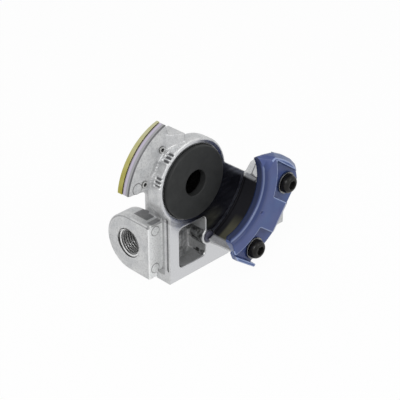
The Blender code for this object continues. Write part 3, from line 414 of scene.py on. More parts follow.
def cast_colour(tree, place, at):
    """Grey skin with specks, painted light on the port block's side and painted shade in creases, hollows
    and corners, then the machined faces, the slot's wall in painted shade and the web's painted reflection.
    """
    y = split(tree, place)[1]
    colour = tint(tree, mottle(tree, place, 5 * MM), *SKIN_TONES)
    # Painted light: the port block's flat side is painted pale to stand in for the light falling on it.
    colour = mix_colour(tree, at["block side"], colour, PAINTED_LIGHT_SKIN)
    specks = spread(tree, mottle(tree, place, 0.7 * MM), 0.0, 0.4, 0.45, 0.75)
    colour = mix_colour(tree, specks, colour, SPECKS)
    colour = mix_colour(tree, at["milled"], colour, MILLED_GREY)
    rim_tone = mix_colour(tree, spread(tree, y, 0.0, 1.0, *RIM_LILAC_Y), RIM_GREY, RIM_LILAC)
    rim_tone = mix_colour(tree, spread(tree, y, 0.0, 0.9, *RIM_BROWN_Y), rim_tone, RIM_BROWN)
    colour = mix_colour(tree, at["rim"], colour, rim_tone)
    # Painted shade: creases and concave corners are darkened by their pointiness.
    hollow = put(tree, "ShaderNodeNewGeometry", {}).outputs["Pointiness"]
    colour = mix_colour(tree, spread(tree, hollow, 0.8, 0.0, 0.43, 0.485), colour, CREASE_SHADE)
    # Painted shade: the open foot's pocket is darkened in mottled patches where shade falls.
    pocket_shade = spread(tree, mottle(tree, place, 2.5 * MM), 0.45, 0.97, 0.38, 0.62)
    colour = mix_colour(tree, all_of(tree, at["pocket"], pocket_shade), colour, POCKET_SHADE)
    # Painted highlight: pale mottled glints on the pocket's lower rear wall.
    colour = mix_colour(tree, at["deep"], colour, tint(tree, mottle(tree, place, 1.2 * MM), *GLINT_TONES))
    # Painted shade in corners, pockets and along edges, with the dark spot and the dark zigzag line.
    for share, dark in painted_dark_places(tree, place):
        colour = mix_colour(tree, sum_up(tree, "MULTIPLY", share, dark), colour, PAINTED_DARK)
    for spot, level, radius in PIN_MARKS:
        from_mark = ring_distance(tree, place, spot)
        ring = all_of(tree, within(tree, from_mark, radius - 0.1 * MM, radius + 0.2 * MM),
                      within(tree, y, level - 0.5 * MM, level + 0.5 * MM))
        colour = mix_colour(tree, sum_up(tree, "MULTIPLY", ring, 0.7), colour, MARK_RING)
    colour = mix_colour(tree, at["bore"], colour, BORE_SHADE)
    # Painted shade: the slot's wall is painted near black, olive in a band lower down, and blacker still at
    # its foot where a highlight would show.
    colour = mix_colour(tree, at["wall"], colour, mix_colour(tree, at["olive"], WALL_SHADE, WALL_OLIVE_SHADE))
    colour = mix_colour(tree, at["wall foot"], colour, WALL_FOOT_SHADE)
    # Painted reflection: the milled web is painted dark bluish in streaks, standing in for the guide's
    # shaded underside mirrored in it.
    streaks = put(tree, "ShaderNodeMapping", {"Vector": place, "Rotation": (0.0, -ARM_TURN, 0.0),
                                              "Scale": (0.35, 1.0, 1.6)}).outputs["Vector"]
    web_reflection = tint(tree, mottle(tree, streaks, 3.5 * MM, 4.0), *WEB_REFLECTION_TONES)
    return mix_colour(tree, at["web"], colour, web_reflection)


def cast_finish():
    """Cast skin, with the machined faces, the bore and the places of painted light and shade told apart by
    where they lie.
    """
    finish, tree, shader, place = start_finish("cast_aluminium", (0.56, 0.56, 0.57), 0.4, 0.6)
    at = casting_places(tree, place)
    tree.links.new(cast_colour(tree, place, at), shader.inputs["Base Color"])
    machined = sum_up(tree, "MAXIMUM", at["milled"], sum_up(tree, "MAXIMUM", at["rim"], at["wall"]))
    non_metal_places = sum_up(tree, "MAXIMUM", at["block side"], at["deep"])
    metal = mix_number(tree, non_metal_places, spread(tree, machined, 0.6, 1.0, 0.0, 1.0), 0.0)
    tree.links.new(metal, shader.inputs["Metallic"])
    rough = spread(tree, mottle(tree, place, 1.5 * MM), 0.34, 0.5)
    rough = mix_number(tree, machined, rough, sum_up(tree, "MULTIPLY_ADD", at["milled"], -0.07, 0.3))
    rough = mix_number(tree, at["pocket"], rough, 0.22)
    rough = mix_number(tree, at["wall"], rough, 0.6)
    tree.links.new(rough, shader.inputs["Roughness"])
    grain = all_of(tree, mottle(tree, place, 0.4 * MM, 2.0), sum_up(tree, "SUBTRACT", 1.0, machined))
    relief = emboss(tree, grain, 0.035 * MM)
    ripple = all_of(tree, mottle(tree, place, 1.6 * MM, 2.0), at["pocket"])
    relief = emboss(tree, ripple, 0.5 * MM, relief)
    lines = put(tree, "ShaderNodeTexWave", {"Vector": place, "Scale": 320.0, "Distortion": 0.4,
                                            "Detail Scale": 20.0}, bands_direction="Y")
    turned = all_of(tree, lines.outputs["Fac"], at["rim"])
    tree.links.new(emboss(tree, turned, 0.02 * MM, relief), shader.inputs["Normal"])
    return finish


def fit(name, mesh, finish, body, slot, *replaced):
    """Puts a finished piece on its body, in place of the plain solids that it stands for."""
    piece = bpy.data.objects.new(name, mesh)
    bpy.context.collection.objects.link(piece)
    mesh.materials.append(finish)
    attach(piece, body)
    if replaced:
        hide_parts(*replaced)
    return piece


BLOCK_ROUND_X = (-23.0 * MM, PORT_BLOCK_END_X)
EVERYWHERE = (-1.0, 1.0)
casting = soft_copy("coupler_body", CAST_GRID, CAST_PASSES, CAST_TRIANGLES)
true_round(casting, 0, SEAL_AXIS, 48, (5 * MM, CUP_R + 0.06 * MM), EVERYWHERE)
true_round(casting, 1, PORT_AXIS, 40, (PORT_BLOCK_R - 1.2 * MM, PORT_BLOCK_R + 0.06 * MM), BLOCK_ROUND_X)
cast_aluminium = cast_finish()
fit("head_casting", casting, cast_aluminium, "head", "cast_aluminium", "coupler_body")

# Round marks of the ejector pins stand a hair proud of the cast skin: two on the port
# block's flat side and one on the flange. They are part of the same casting.
PIN_MARK_PROUD = 0.16 * MM
PIN_MARK_SUNK = 0.3 * MM
PIN_MARK_EDGE = 0.12 * MM
MOST_OF_SIDE = 0.38
FLAT_KEPT = 0.25


def eased(profile, radius, steps=4):
    """A closed profile of (radius, y) with each corner rounded, and a point beyond each rounding
    that keeps the flats flat."""
    points = []
    for i, corner in enumerate(profile):
        corner = Vector(corner)
        if corner.x < 0.001 * MM:
            points.append(corner)
            continue
        back = Vector(profile[i - 1]) - corner
        ahead = Vector(profile[(i + 1) % len(profile)]) - corner
        reach = min(radius, MOST_OF_SIDE * back.length, MOST_OF_SIDE * ahead.length)
        start = corner + back.normalized() * reach
        end = corner + ahead.normalized() * reach
        points.append(start + back.normalized() * reach * FLAT_KEPT)
        for k in range(steps + 1):
            t = k / steps
            points.append(start * (1 - t) ** 2 + corner * 2 * t * (1 - t) + end * t ** 2)
        points.append(end + ahead.normalized() * reach * FLAT_KEPT)
    return points


def turn_up(name, profile, centre, steps=128):
    """A closed profile of (radius, y) turned about an axis along Y."""
    shape = bmesh.new()
    loop = [shape.verts.new((centre[0] + radius, y, centre[1])) for radius, y in profile]
    edges = [shape.edges.new((a, b)) for a, b in zip(loop, loop[1:] + loop[:1])]
    bmesh.ops.spin(shape, geom=loop + edges, cent=(centre[0], 0.0, centre[1]), axis=(0.0, 1.0, 0.0),
                   angle=2 * math.pi, steps=steps, use_merge=True)
    bmesh.ops.remove_doubles(shape, verts=shape.verts, dist=0.002 * MM)
    bmesh.ops.dissolve_degenerate(shape, edges=shape.edges, dist=0.001 * MM)
    bmesh.ops.recalc_face_normals(shape, faces=shape.faces)
    mesh = bpy.data.meshes.new(name)
    shape.to_mesh(mesh)
    shape.free()
    mesh.shade_smooth()
    return mesh


for number, (spot, level, radius) in enumerate(PIN_MARKS):
    front = level - PIN_MARK_PROUD
    back = level + PIN_MARK_SUNK
    mark = [(0.0, front), (radius, front), (radius, back), (0.0, back)]
    fit("ejector_mark_%d" % (number + 1), turn_up("mark", eased(mark, PIN_MARK_EDGE), spot, 64),
        cast_aluminium, "head", "cast_aluminium")

# The port is tapped M16 x 1.5 for the hose fitting. The ridge of the thread winds in from
# the chamfer, bright where the tap cut it.
THREAD_PITCH = 1.5 * MM
THREAD_ROOT_R = 8.05 * MM
THREAD_CREST_R = 7.15 * MM
THREAD_TURNS = 8.6
THREAD_STEPS_A_TURN = 72
THREAD_FADE = 2.5
THREAD_LEAST = 0.02
THREAD_HALF_ROOT = 0.45 * MM
THREAD_HALF_CREST = 0.12 * MM
CUT_TONES = ((0.56, 0.56, 0.56), (0.80, 0.80, 0.80))


def wind_ridge():
    """The thread's ridge as a helix of four-sided sections, fading in and out at its ends."""
    shape = bmesh.new()
    count = int(THREAD_TURNS * THREAD_STEPS_A_TURN)
    rings = []
    for i in range(count + 1):
        turns = i / THREAD_STEPS_A_TURN
        fade = min(1.0, THREAD_FADE * turns, THREAD_FADE * (THREAD_TURNS - turns))
        crest = THREAD_ROOT_R - (THREAD_ROOT_R - THREAD_CREST_R) * max(fade, THREAD_LEAST)
        angle = 2 * math.pi * turns
        x = PORT_MOUTH_X + THREAD_PITCH * turns
        ring = []
        for radius, side in ((THREAD_ROOT_R, -THREAD_HALF_ROOT), (crest, -THREAD_HALF_CREST),
                             (crest, THREAD_HALF_CREST), (THREAD_ROOT_R, THREAD_HALF_ROOT)):
            ring.append(shape.verts.new((x + side, radius * math.cos(angle),
                                         PORT_AXIS[1] + radius * math.sin(angle))))
        rings.append(ring)
    for first, second in zip(rings, rings[1:]):
        for k in range(4):
            shape.faces.new((first[k], first[(k + 1) % 4], second[(k + 1) % 4], second[k]))
    shape.faces.new(rings[0])
    shape.faces.new(rings[-1])
    bmesh.ops.recalc_face_normals(shape, faces=shape.faces)
    mesh = bpy.data.meshes.new("thread")
    shape.to_mesh(mesh)
    shape.free()
    mesh.shade_smooth()
    mesh.set_sharp_from_angle(angle=math.radians(30))
    return mesh


def cut_metal_finish():
    """Bright aluminium as a tap leaves it."""
    finish, tree, shader, place = start_finish("cut_aluminium", (0.8, 0.8, 0.8), 0.25, 0.8)
    tree.links.new(spread(tree, mottle(tree, place, 0.6 * MM), 0.18, 0.34), shader.inputs["Roughness"])
    tree.links.new(tint(tree, mottle(tree, place, 2 * MM), *CUT_TONES), shader.inputs["Base Color"])
    return finish


fit("port_thread", wind_ridge(), cut_metal_finish(), "head", "cast_aluminium")

# The stop pin is hardened steel, pressed into its boss at the end of the slot. Its ground
# end stands half a millimetre proud of the contact face.
STOP_PIN_EDGE = 0.3 * MM
# The pin's end is painted dark bluish as a painted reflection of the blue guide.
PIN_REFLECTION_TONES = ((0.035, 0.035, 0.06), (0.10, 0.10, 0.14))


def centre_of(node):
    """The middle of a node across its axis, as (x, z)."""
    low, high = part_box(node)
    return ((low[0] + high[0]) / 2, (low[2] + high[2]) / 2)


def steel_finish(name, dark, light, rough):
    """Plated or ground steel with faint patches and a fine grain."""
    finish, tree, shader, place = start_finish(name, light, rough, 1.0)
    tree.links.new(tint(tree, mottle(tree, place, 1.2 * MM), dark, light), shader.inputs["Base Color"])
    tree.links.new(spread(tree, mottle(tree, place, 0.5 * MM), rough * 0.7, rough * 1.3),
                   shader.inputs["Roughness"])
    tree.links.new(emboss(tree, mottle(tree, place, 0.15 * MM, 2.0), 0.006 * MM), shader.inputs["Normal"])
    return finish


bright_steel = steel_finish("bright_steel", (0.44, 0.44, 0.45), (0.62, 0.62, 0.62), 0.26)


def pin_reflection_finish():
    """Ground steel painted dark bluish, a painted reflection of the blue guide above it."""
    finish, tree, shader, place = start_finish("pin_steel_painted_reflection", (0.06, 0.06, 0.09), 0.4, 0.3)
    tree.links.new(tint(tree, mottle(tree, place, 1.5 * MM), *PIN_REFLECTION_TONES), shader.inputs["Base Color"])
    tree.links.new(spread(tree, mottle(tree, place, 0.5 * MM), 0.3, 0.5), shader.inputs["Roughness"])
    return finish


low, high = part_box("stop_pin")
pin_r = (high[0] - low[0]) / 2
pin = [(0.0, low[1]), (pin_r, low[1]), (pin_r, high[1]), (0.0, high[1])]
fit("stop_pin_ground", turn_up("pin", eased(pin, STOP_PIN_EDGE), centre_of("stop_pin")),
    pin_reflection_finish(), "head", "bright_steel", "stop_pin")

# The wear plate is pressed steel with a yellow zinc coat, riveted to the flange's back so
# that the mating guide rubs on steel and not on the casting.
PLATE_EDGE = 0.35 * MM
PLATE_Z = (56.0 * MM, 88.0 * MM)
YELLOW_TONES = ((0.34, 0.31, 0.055), (0.44, 0.41, 0.14), (0.50, 0.49, 0.30))


def yellow_zinc_finish():
    """Yellow chromate over zinc: paler at the upper end, deeper below, with fine rolled lines."""
    finish, tree, shader, place = start_finish("yellow_zinc", (0.55, 0.5, 0.2), 0.3, 1.0)
    height = spread(tree, split(tree, place)[2], 0.3, 0.7, *PLATE_Z)
    clouds = spread(tree, mottle(tree, place, 4 * MM), -0.08, 0.08)
    colour = tint(tree, sum_up(tree, "ADD", height, clouds), *YELLOW_TONES)
    tree.links.new(colour, shader.inputs["Base Color"])
    lines = put(tree, "ShaderNodeTexWave", {"Vector": place, "Scale": 420.0, "Distortion": 1.0,
                                            "Detail Scale": 30.0}, bands_direction="Y")
    tree.links.new(emboss(tree, lines.outputs["Fac"], 0.015 * MM), shader.inputs["Normal"])
    tree.links.new(spread(tree, mottle(tree, place, MM), 0.24, 0.38), shader.inputs["Roughness"])
    return finish


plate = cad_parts["wear_plate"]
plate.data.materials.clear()
plate.data.materials.append(yellow_zinc_finish())
rounding = plate.modifiers.new("edge", "BEVEL")
rounding.width = PLATE_EDGE
rounding.segments = 3
rounding.limit_method = "ANGLE"
rounding.angle_limit = math.radians(40)

# Two steel rivets hold the wear plate. Each shows a set head with a small dimple on the
# flange's front, and a plain head behind.
RIVET_DIMPLE_R = 0.95 * MM
RIVET_DIMPLE_DEPTH = 1.3 * MM
RIVET_SUNK = 0.45 * MM
RIVET_EDGE_R = 1.75 * MM
RIVET_HEAD_THICK = 0.7 * MM
RIVET_SHANK_R = 1.3 * MM
RIVET_FLAT_SHARE = 0.92
RIVET_BACK_SHARE = 0.8
RIVET_ROUNDING = 0.08 * MM
RIVET_TONES = ((0.46, 0.46, 0.46), (0.64, 0.64, 0.63))
DIMPLE_SHADE = (0.04, 0.04, 0.04)
RIVET_EDGE_SHADE = (0.2, 0.2, 0.19)


def rivet_finish(spots):
    """Zinc plated rivet heads with painted shade in their dimples and in a ring towards each head's rim."""
    finish, tree, shader, place = start_finish("rivet_zinc", (0.6, 0.6, 0.6), 0.35, 0.8)
    colour = tint(tree, mottle(tree, place, MM), *RIVET_TONES)
    for spot in spots:
        away = ring_distance(tree, place, spot)
        # Painted shade in each dimple and in a ring towards the head's rim.
        dimple = within(tree, away, -MM, RIVET_DIMPLE_R, 0.1 * MM)
        edge = within(tree, away, RIVET_EDGE_R, 2 * RIVET_EDGE_R, 0.1 * MM)
        colour = mix_colour(tree, edge, mix_colour(tree, dimple, colour, DIMPLE_SHADE), RIVET_EDGE_SHADE)
    tree.links.new(colour, shader.inputs["Base Color"])
    tree.links.new(spread(tree, mottle(tree, place, 0.5 * MM), 0.25, 0.45), shader.inputs["Roughness"])
    return finish


rivet_zinc = rivet_finish([centre_of("wear_plate_rivet_upper"), centre_of("wear_plate_rivet_lower")])
for end in ("upper", "lower"):
    node = "wear_plate_rivet_" + end
    low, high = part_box(node)
    head_r = (high[0] - low[0]) / 2
    top = low[1] + RIVET_SUNK
    under = low[1] + RIVET_HEAD_THICK
    over = high[1] - RIVET_HEAD_THICK
    rivet = [(0.0, top + RIVET_DIMPLE_DEPTH), (RIVET_DIMPLE_R / 2, top + RIVET_DIMPLE_DEPTH * 0.8),
             (RIVET_DIMPLE_R, top), (head_r * RIVET_FLAT_SHARE, top), (head_r, under),
             (RIVET_SHANK_R, under), (RIVET_SHANK_R, over), (head_r, over),
             (head_r * RIVET_BACK_SHARE, high[1]), (0.0, high[1])]
    fit("set_rivet_" + end, turn_up("rivet", eased(rivet, RIVET_ROUNDING), centre_of(node), 64), rivet_zinc,
        "head", "bright_steel", node)

# The guide is a steel forging with a thick blue coat. It hooks over the mating head's flange,
# and its two screws sit in recesses that open to its outer edge.
GUIDE_GRID = 0.36 * MM
GUIDE_PASSES = 5
GUIDE_TRIANGLES = 160000
LIP_R = 26.0 * MM
LIP_TOP_Y = -48.6 * MM
TOP_Y = -50.3 * MM
RECESS_START_R = 33.0 * MM
RECESS_R = 36.2 * MM
RECESS_MIDDLE = 1.4 * MM
RECESS_BESIDE = (8.6 * MM, 26.0 * MM)
GUIDE_ROUND_R = (20.0 * MM, 40.0 * MM)
BLUE_TONES = ((0.050, 0.072, 0.205), (0.064, 0.088, 0.225))
SKY_BLUE = (0.05, 0.11, 0.26)
EDGE_HIGHLIGHT_BLUE = (0.34, 0.42, 0.66)
HOLLOW_SHADE_BLUE = (0.01, 0.015, 0.06)
TROUGH_SHADE_BLUE = (0.018, 0.032, 0.105)
LIP_SHADE_NAVY = (0.006, 0.014, 0.055)
RIDGE_HIGHLIGHT_BLUE = (0.30, 0.36, 0.55)


def blue_colour(tree, place):
    """Clouded blue, with painted highlights on its rounded outer edges, top edge, recess edges and ridge,
    and painted shade in its hollows, along the trough and inside the lip.
    """
    y = split(tree, place)[1]
    away = ring_distance(tree, place, SEAL_AXIS)
    outer = sum_up(tree, "GREATER_THAN", away, RECESS_START_R)
    sky = spread(tree, mottle(tree, place, 14 * MM, 1.0), 0.0, 0.5, 0.45, 0.7)
    colour = mix_colour(tree, sky, tint(tree, mottle(tree, place, 9 * MM), *BLUE_TONES), SKY_BLUE)
    # Painted highlights on the rounded outer edges, the top edge, the recess edges and the ridge.
    bend = put(tree, "ShaderNodeNewGeometry", {}).outputs["Pointiness"]
    rounded = all_of(tree, spread(tree, bend, 0.0, 0.7, 0.52, 0.57), outer)
    colour = mix_colour(tree, rounded, colour, EDGE_HIGHLIGHT_BLUE)
    # Painted shade in the hollows found by pointiness, along the trough and inside the lip.
    colour = mix_colour(tree, spread(tree, bend, 0.85, 0.0, 0.42, 0.485), colour, HOLLOW_SHADE_BLUE)
    top_edge = all_of(tree, within(tree, y, TOP_Y + 0.07 * MM, TOP_Y + 0.7 * MM, 0.04 * MM), outer)
    across_arm = towards(tree, place, ARM_SIDE)
    beside = sum_up(tree, "ABSOLUTE", sum_up(tree, "SUBTRACT", across_arm, RECESS_MIDDLE))
    recess_edge = all_of(tree, within(tree, away, RECESS_R - 0.6 * MM, RECESS_R),
                         within(tree, beside, *RECESS_BESIDE),
                         sum_up(tree, "LESS_THAN", y, TOP_Y + 0.6 * MM))
    edge_highlight = sum_up(tree, "MULTIPLY", sum_up(tree, "MAXIMUM", top_edge, recess_edge), 0.6)
    colour = mix_colour(tree, edge_highlight, colour, EDGE_HIGHLIGHT_BLUE)
    trough = all_of(tree, spread(tree, away, 0.8, 0.0, LIP_R + 1.6 * MM, LIP_R + 5 * MM),
                    sum_up(tree, "LESS_THAN", y, LIP_TOP_Y))
    colour = mix_colour(tree, trough, colour, TROUGH_SHADE_BLUE)
    inside = all_of(tree, sum_up(tree, "LESS_THAN", away, LIP_R + 1.5 * MM),
                    spread(tree, y, 0.0, 1.0, LIP_TOP_Y, LIP_TOP_Y + MM))
    colour = mix_colour(tree, inside, colour, LIP_SHADE_NAVY)
    ridge = all_of(tree, within(tree, away, LIP_R + 0.3 * MM, LIP_R + 1.6 * MM, 0.2 * MM),
                   within(tree, y, LIP_TOP_Y - 0.55 * MM, LIP_TOP_Y - 0.1 * MM, 0.2 * MM))
    return mix_colour(tree, sum_up(tree, "MULTIPLY", ridge, 0.4), colour, RIDGE_HIGHLIGHT_BLUE)


def blue_finish():
    """Baked blue coat with a soft orange peel."""
    finish, tree, shader, place = start_finish("blue_paint", (0.055, 0.075, 0.19), 0.34, 0.0)
    tree.links.new(blue_colour(tree, place), shader.inputs["Base Color"])
    tree.links.new(spread(tree, mottle(tree, place, 3 * MM), 0.28, 0.4), shader.inputs["Roughness"])
    peel = emboss(tree, mottle(tree, place, 1.1 * MM, 1.0), 0.03 * MM)
    tree.links.new(peel, shader.inputs["Normal"])
    shader.inputs["Specular IOR Level"].default_value = 0.25
    shader.inputs["Coat Weight"].default_value = 0.12
    shader.inputs["Coat Roughness"].default_value = 0.2
    return finish


guide = soft_copy("guide_claw", GUIDE_GRID, GUIDE_PASSES, GUIDE_TRIANGLES)
true_round(guide, 0, SEAL_AXIS, 96, GUIDE_ROUND_R, EVERYWHERE)
fit("blue_guide", guide, blue_finish(), "head", "blue_paint", "guide_claw")

# Each end of the guide has a black button head screw with a hexagon socket, on a plain
# zinc washer.
SCREW_R = 3.0 * MM
HEAD_LENGTH = 3.5 * MM
HEAD_TOP_R = 2.9 * MM
SOCKET_R = 2.6 * MM
SOCKET_DEPTH = 2.2 * MM
HEAD_RIM = 0.45 * MM
DOME_STEPS = 8
SOCKET_EDGE = 0.2 * MM
WASHER_CLEARANCE = 0.3 * MM
WASHER_EDGE = 0.22 * MM
BLACK_TONES = ((0.006, 0.006, 0.006), (0.014, 0.013, 0.012))


def black_steel_finish():
    """Blackened steel, faintly oily."""
    finish, tree, shader, place = start_finish("black_steel", (0.02, 0.019, 0.018), 0.3, 0.0)
    tree.links.new(tint(tree, mottle(tree, place, 1.5 * MM), *BLACK_TONES), shader.inputs["Base Color"])
    tree.links.new(spread(tree, mottle(tree, place, 0.4 * MM), 0.22, 0.36), shader.inputs["Roughness"])
    shader.inputs["Specular IOR Level"].default_value = 0.18
    return finish


def cut_socket(mesh, spot, top):
    """Takes a hexagon socket out of a screw's head."""
    screw = bpy.data.objects.new("screw_blank", mesh)
    shape = bmesh.new()
    corners = []
    for y in (top - MM, top + SOCKET_DEPTH):
        ring = []
        for k in range(6):
            turn = math.pi * k / 3
            ring.append(shape.verts.new((spot[0] + SOCKET_R * math.cos(turn), y,
                                         spot[1] + SOCKET_R * math.sin(turn))))
        corners.append(ring)
    shape.faces.new(corners[0])
    shape.faces.new(corners[1])
    for k in range(6):
        j = (k + 1) % 6
        shape.faces.new((corners[0][k], corners[0][j], corners[1][j], corners[1][k]))
    bmesh.ops.recalc_face_normals(shape, faces=shape.faces)
    hexagon = bpy.data.meshes.new("hexagon")
    shape.to_mesh(hexagon)
    shape.free()
    punch = bpy.data.objects.new("punch", hexagon)
    for piece in (screw, punch):
        bpy.context.collection.objects.link(piece)
    socket = screw.modifiers.new("socket", "BOOLEAN")
    socket.operation = "DIFFERENCE"
    socket.solver = "MANIFOLD"
    socket.object = punch
    edge = screw.modifiers.new("edge", "BEVEL")
    edge.width = SOCKET_EDGE
    edge.segments = 2
    edge.limit_method = "ANGLE"
    edge.angle_limit = math.radians(50)
    made = bpy.data.meshes.new_from_object(screw.evaluated_get(bpy.context.evaluated_depsgraph_get()))
    for piece in (screw, punch):
        bpy.data.objects.remove(piece)
    made.set_sharp_from_angle(angle=math.radians(40))
    return made


black_steel = black_steel_finish()
washer_zinc = steel_finish("washer_zinc", (0.10, 0.10, 0.10), (0.30, 0.30, 0.29), 0.3)
for end in ("upper", "lower"):
    node = "guide_screw_" + end
    low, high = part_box(node)
    spot = centre_of(node)
    head_r = (high[0] - low[0]) / 2
    head_base = low[1] + HEAD_LENGTH
    dome = [(0.0, low[1])]
    for k in range(DOME_STEPS + 1):
        turn = math.pi / 2 * k / DOME_STEPS
        dome.append((HEAD_TOP_R + (head_r - HEAD_TOP_R) * math.sin(turn),
                     head_base - HEAD_RIM - (HEAD_LENGTH - HEAD_RIM) * math.cos(turn)))
    dome += [(head_r, head_base), (SCREW_R, head_base), (SCREW_R, high[1] - SCREW_R / 4),
             (SCREW_R * 0.75, high[1]), (0.0, high[1])]
    screw = cut_socket(turn_up("screw", dome, spot, 96), spot, low[1])
    screw.materials.clear()
    fit("button_screw_" + end, screw, black_steel, "head", "black_steel", node)
    node = "guide_washer_" + end
    low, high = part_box(node)
    outer = (high[0] - low[0]) / 2
    inner = SCREW_R + WASHER_CLEARANCE
    ring = [(inner, low[1]), (outer, low[1]), (outer, high[1]), (inner, high[1])]
    fit("plain_washer_" + end, turn_up("washer", eased(ring, WASHER_EDGE), spot, 96), washer_zinc,
        "head", "bright_steel", node)

# The sealing ring is moulded black rubber, snapped over the flange of its steel carrier.
# It stands two millimetres proud, and is pushed in when two heads are coupled.
SEAL_HOLE_R = 7.0 * MM
SEAL_FRONT_EDGE = 0.8 * MM
SEAL_SKIRT = 0.3 * MM
SEAL_HOLE_FLARE = 0.5 * MM
SEAL_HOLE_DROP = 0.1 * MM
RUBBER_TONES = ((0.014, 0.015, 0.015), (0.022, 0.023, 0.023))


def rubber_finish():
    """Moulded rubber: almost black, matt, with a faint bloom and a fine mould grain."""
    finish, tree, shader, place = start_finish("black_rubber", (0.02, 0.021, 0.021), 0.5, 0.0)
    tree.links.new(tint(tree, mottle(tree, place, 7 * MM), *RUBBER_TONES), shader.inputs["Base Color"])
    tree.links.new(spread(tree, mottle(tree, place, 2.5 * MM), 0.46, 0.6), shader.inputs["Roughness"])
    tree.links.new(emboss(tree, mottle(tree, place, 0.25 * MM, 2.0), 0.01 * MM), shader.inputs["Normal"])
    shader.inputs["Specular IOR Level"].default_value = 0.28
    return finish


black_rubber = rubber_finish()
low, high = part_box("sealing_ring")
seal_r = (high[0] - low[0]) / 2
carrier_low, carrier_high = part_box("seal_carrier")
skirt_r = (carrier_high[0] - carrier_low[0]) / 2 + SEAL_SKIRT
seal_back = carrier_low[1] - SEAL_SKIRT
seal = [(SEAL_HOLE_R, low[1] + SEAL_HOLE_DROP), (SEAL_HOLE_R + SEAL_HOLE_FLARE, low[1]), (seal_r, low[1]),
        (seal_r, high[1]), (skirt_r, high[1]), (skirt_r, seal_back), (SEAL_HOLE_R, seal_back)]
fit("moulded_seal", turn_up("seal", eased(seal, SEAL_FRONT_EDGE, 6), SEAL_AXIS, 192), black_rubber,
    "seal_group", "black_rubber", "sealing_ring")

# Inside the chamber the carrier slides on its own seal, and a coil spring of steel wire
# pushes it forwards. A pushed carrier shortens the spring, whose rear end stays put; here the coil is built
# to fill its part's box.
SPRING_WIRE_R = 0.75 * MM
SPRING_TURNS = 3.5
SPRING_STEPS_A_TURN = 60
WIRE_SIDES = 14
BRASS_TONES = ((0.42, 0.29, 0.12), (0.68, 0.5, 0.23))


def brass_finish():
    """Turned brass with a little tarnish."""
    finish, tree, shader, place = start_finish("brass", (0.62, 0.45, 0.2), 0.28, 1.0)
    tree.links.new(tint(tree, mottle(tree, place, 2 * MM), *BRASS_TONES), shader.inputs["Base Color"])
    tree.links.new(spread(tree, mottle(tree, place, 0.7 * MM), 0.2, 0.36), shader.inputs["Roughness"])
    return finish


def coil(low, high):
    """The spring's wire along its helix, which fills the box between two corners."""
    shape = bmesh.new()
    outer = (high[0] - low[0]) / 2 - SPRING_WIRE_R
    start, end = low[1] + SPRING_WIRE_R, high[1] - SPRING_WIRE_R
    count = int(SPRING_TURNS * SPRING_STEPS_A_TURN)
    rings = []
    for i in range(count + 1):
        share = i / count
        turn = share * SPRING_TURNS * 2 * math.pi
        out = Vector((math.cos(turn), 0.0, math.sin(turn)))
        middle = out * outer + Vector((0.0, start + (end - start) * share, SEAL_AXIS[1]))
        ring = []
        for k in range(WIRE_SIDES):
            angle = 2 * math.pi * k / WIRE_SIDES
            side = out * math.cos(angle) + Vector((0.0, math.sin(angle), 0.0))
            ring.append(shape.verts.new(middle + side * SPRING_WIRE_R))
        rings.append(ring)
    for first, second in zip(rings, rings[1:]):
        for k in range(WIRE_SIDES):
            j = (k + 1) % WIRE_SIDES
            shape.faces.new((first[k], first[j], second[j], second[k]))
    shape.faces.new(rings[0])
    shape.faces.new(rings[-1])
    bmesh.ops.recalc_face_normals(shape, faces=shape.faces)
    mesh = bpy.data.meshes.new("coil")
    shape.to_mesh(mesh)
    shape.free()
    mesh.shade_smooth()
    return mesh


brass = brass_finish()
spring_low, spring_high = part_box("carrier_spring")
spring = fit("coil_spring", coil(spring_low, spring_high), bright_steel, "head", "bright_steel",
             "carrier_spring")
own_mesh(spring)

# The fixed valve and the parts round it are hidden in the chamber: turned brass, a rubber
# disc and ring, and dark steel. They keep their solids and get their finishes.
# The carrier, the valve's cap, its lock washer and its screw are dark steel, dark enough that the chamber
# behind the seal's hole shows black as painted shade.
dark_steel = steel_finish("dark_steel", (0.05, 0.05, 0.05), (0.10, 0.10, 0.10), 0.35)
INNER_FINISHES = {
    "seal_carrier": dark_steel,
    "carrier_o_ring": black_rubber,
    "spring_seat": bright_steel,
    "valve_post": brass,
    "valve_seal": black_rubber,
    "valve_cap": dark_steel,
    "valve_lock_washer": dark_steel,
    "valve_screw": dark_steel,
}
for node, finish in INNER_FINISHES.items():
    inner_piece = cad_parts[node]
    inner_piece.data.materials.clear()
    inner_piece.data.materials.append(finish)

# The head stands on a plain white floor under two large soft lamps, seen from its hose port's
# side and from above.
AIM = Vector((-0.848, -31.452, 46.44)) * MM
VIEW_BACK = Vector((-0.6124, -0.6124, 0.5))
VIEW_DISTANCE = 555 * MM
FLOOR_REACH = 3.0
FLOOR_GLOW = 0.95
LAMPS = (
    ("key", (-0.75, -0.45, 0.8), 0.5, 5.5),
    ("fill", (0.35, -0.9, 0.6), 0.6, 2.5),
)
WHITE = (1.0, 1.0, 1.0, 1.0)


def seen_plainly(tree):
    """1 for what the camera, a mirror or a clear piece sees, and 0 for plain light."""
    path = put(tree, "ShaderNodeLightPath", {})
    shiny = sum_up(tree, "MAXIMUM", path.outputs["Is Glossy Ray"], path.outputs["Is Transmission Ray"])
    return sum_up(tree, "MAXIMUM", path.outputs["Is Camera Ray"], shiny)


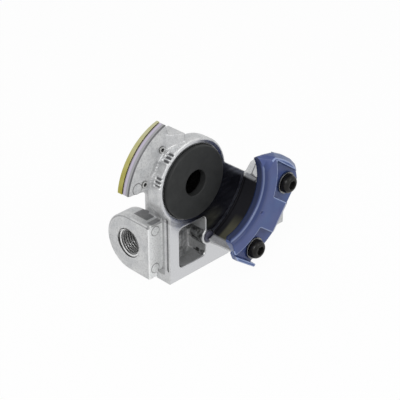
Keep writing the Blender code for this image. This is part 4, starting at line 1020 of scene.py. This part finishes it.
def lay_floor():
    """A wide pale plane at the foot of the head, which takes its shadow."""
    bpy.ops.mesh.primitive_plane_add(size=2 * FLOOR_REACH, location=(0.0, 0.0, 0.0))
    floor = bpy.context.object
    floor.name = "floor"
    finish, tree, shader, _ = start_finish("floor_white", (0.9, 0.9, 0.9), 0.9, 0.0)
    glow = put(tree, "ShaderNodeEmission", {"Color": WHITE, "Strength": 1.0})
    share = sum_up(tree, "MULTIPLY", seen_plainly(tree), FLOOR_GLOW)
    mixed = put(tree, "ShaderNodeMixShader", {0: share, 1: shader.outputs[0], 2: glow.outputs[0]})
    tree.links.new(mixed.outputs[0], tree.nodes["Material Output"].inputs["Surface"])
    floor.data.materials.append(finish)


def hang_lamp(name, spot, size, power):
    """A square soft lamp that faces the head."""
    lamp = bpy.data.lights.new(name, "AREA")
    lamp.size = size
    lamp.energy = power
    holder = bpy.data.objects.new(name, lamp)
    bpy.context.collection.objects.link(holder)
    holder.location = spot
    holder.rotation_euler = (Vector(spot) - AIM).to_track_quat("Z", "Y").to_euler()


def light_room():
    """Even light from all round, seen as plain white."""
    room = bpy.data.worlds.new("white_room")
    bpy.context.scene.world = room
    room.use_nodes = True
    tree = room.node_tree
    plain = tree.nodes["Background"]
    plain.inputs["Strength"].default_value = 0.5
    plain.inputs["Color"].default_value = WHITE
    seen = put(tree, "ShaderNodeBackground", {"Color": WHITE, "Strength": 1.0})
    mixed = put(tree, "ShaderNodeMixShader",
                {0: seen_plainly(tree), 1: plain.outputs[0], 2: seen.outputs[0]})
    tree.links.new(mixed.outputs[0], tree.nodes["World Output"].inputs["Surface"])


def stand_camera():
    """A long lens at the photograph's angle."""
    camera = bpy.data.cameras.new("camera")
    camera.lens = 100
    camera.sensor_width = 36
    stand = bpy.data.objects.new("camera", camera)
    bpy.context.collection.objects.link(stand)
    stand.location = AIM + VIEW_BACK * VIEW_DISTANCE
    stand.rotation_euler = VIEW_BACK.to_track_quat("Z", "Y").to_euler()
    bpy.context.scene.camera = stand


lay_floor()
light_room()
for lamp in LAMPS:
    hang_lamp(*lamp)
stand_camera()
bpy.context.scene.view_settings.view_transform = "Standard"
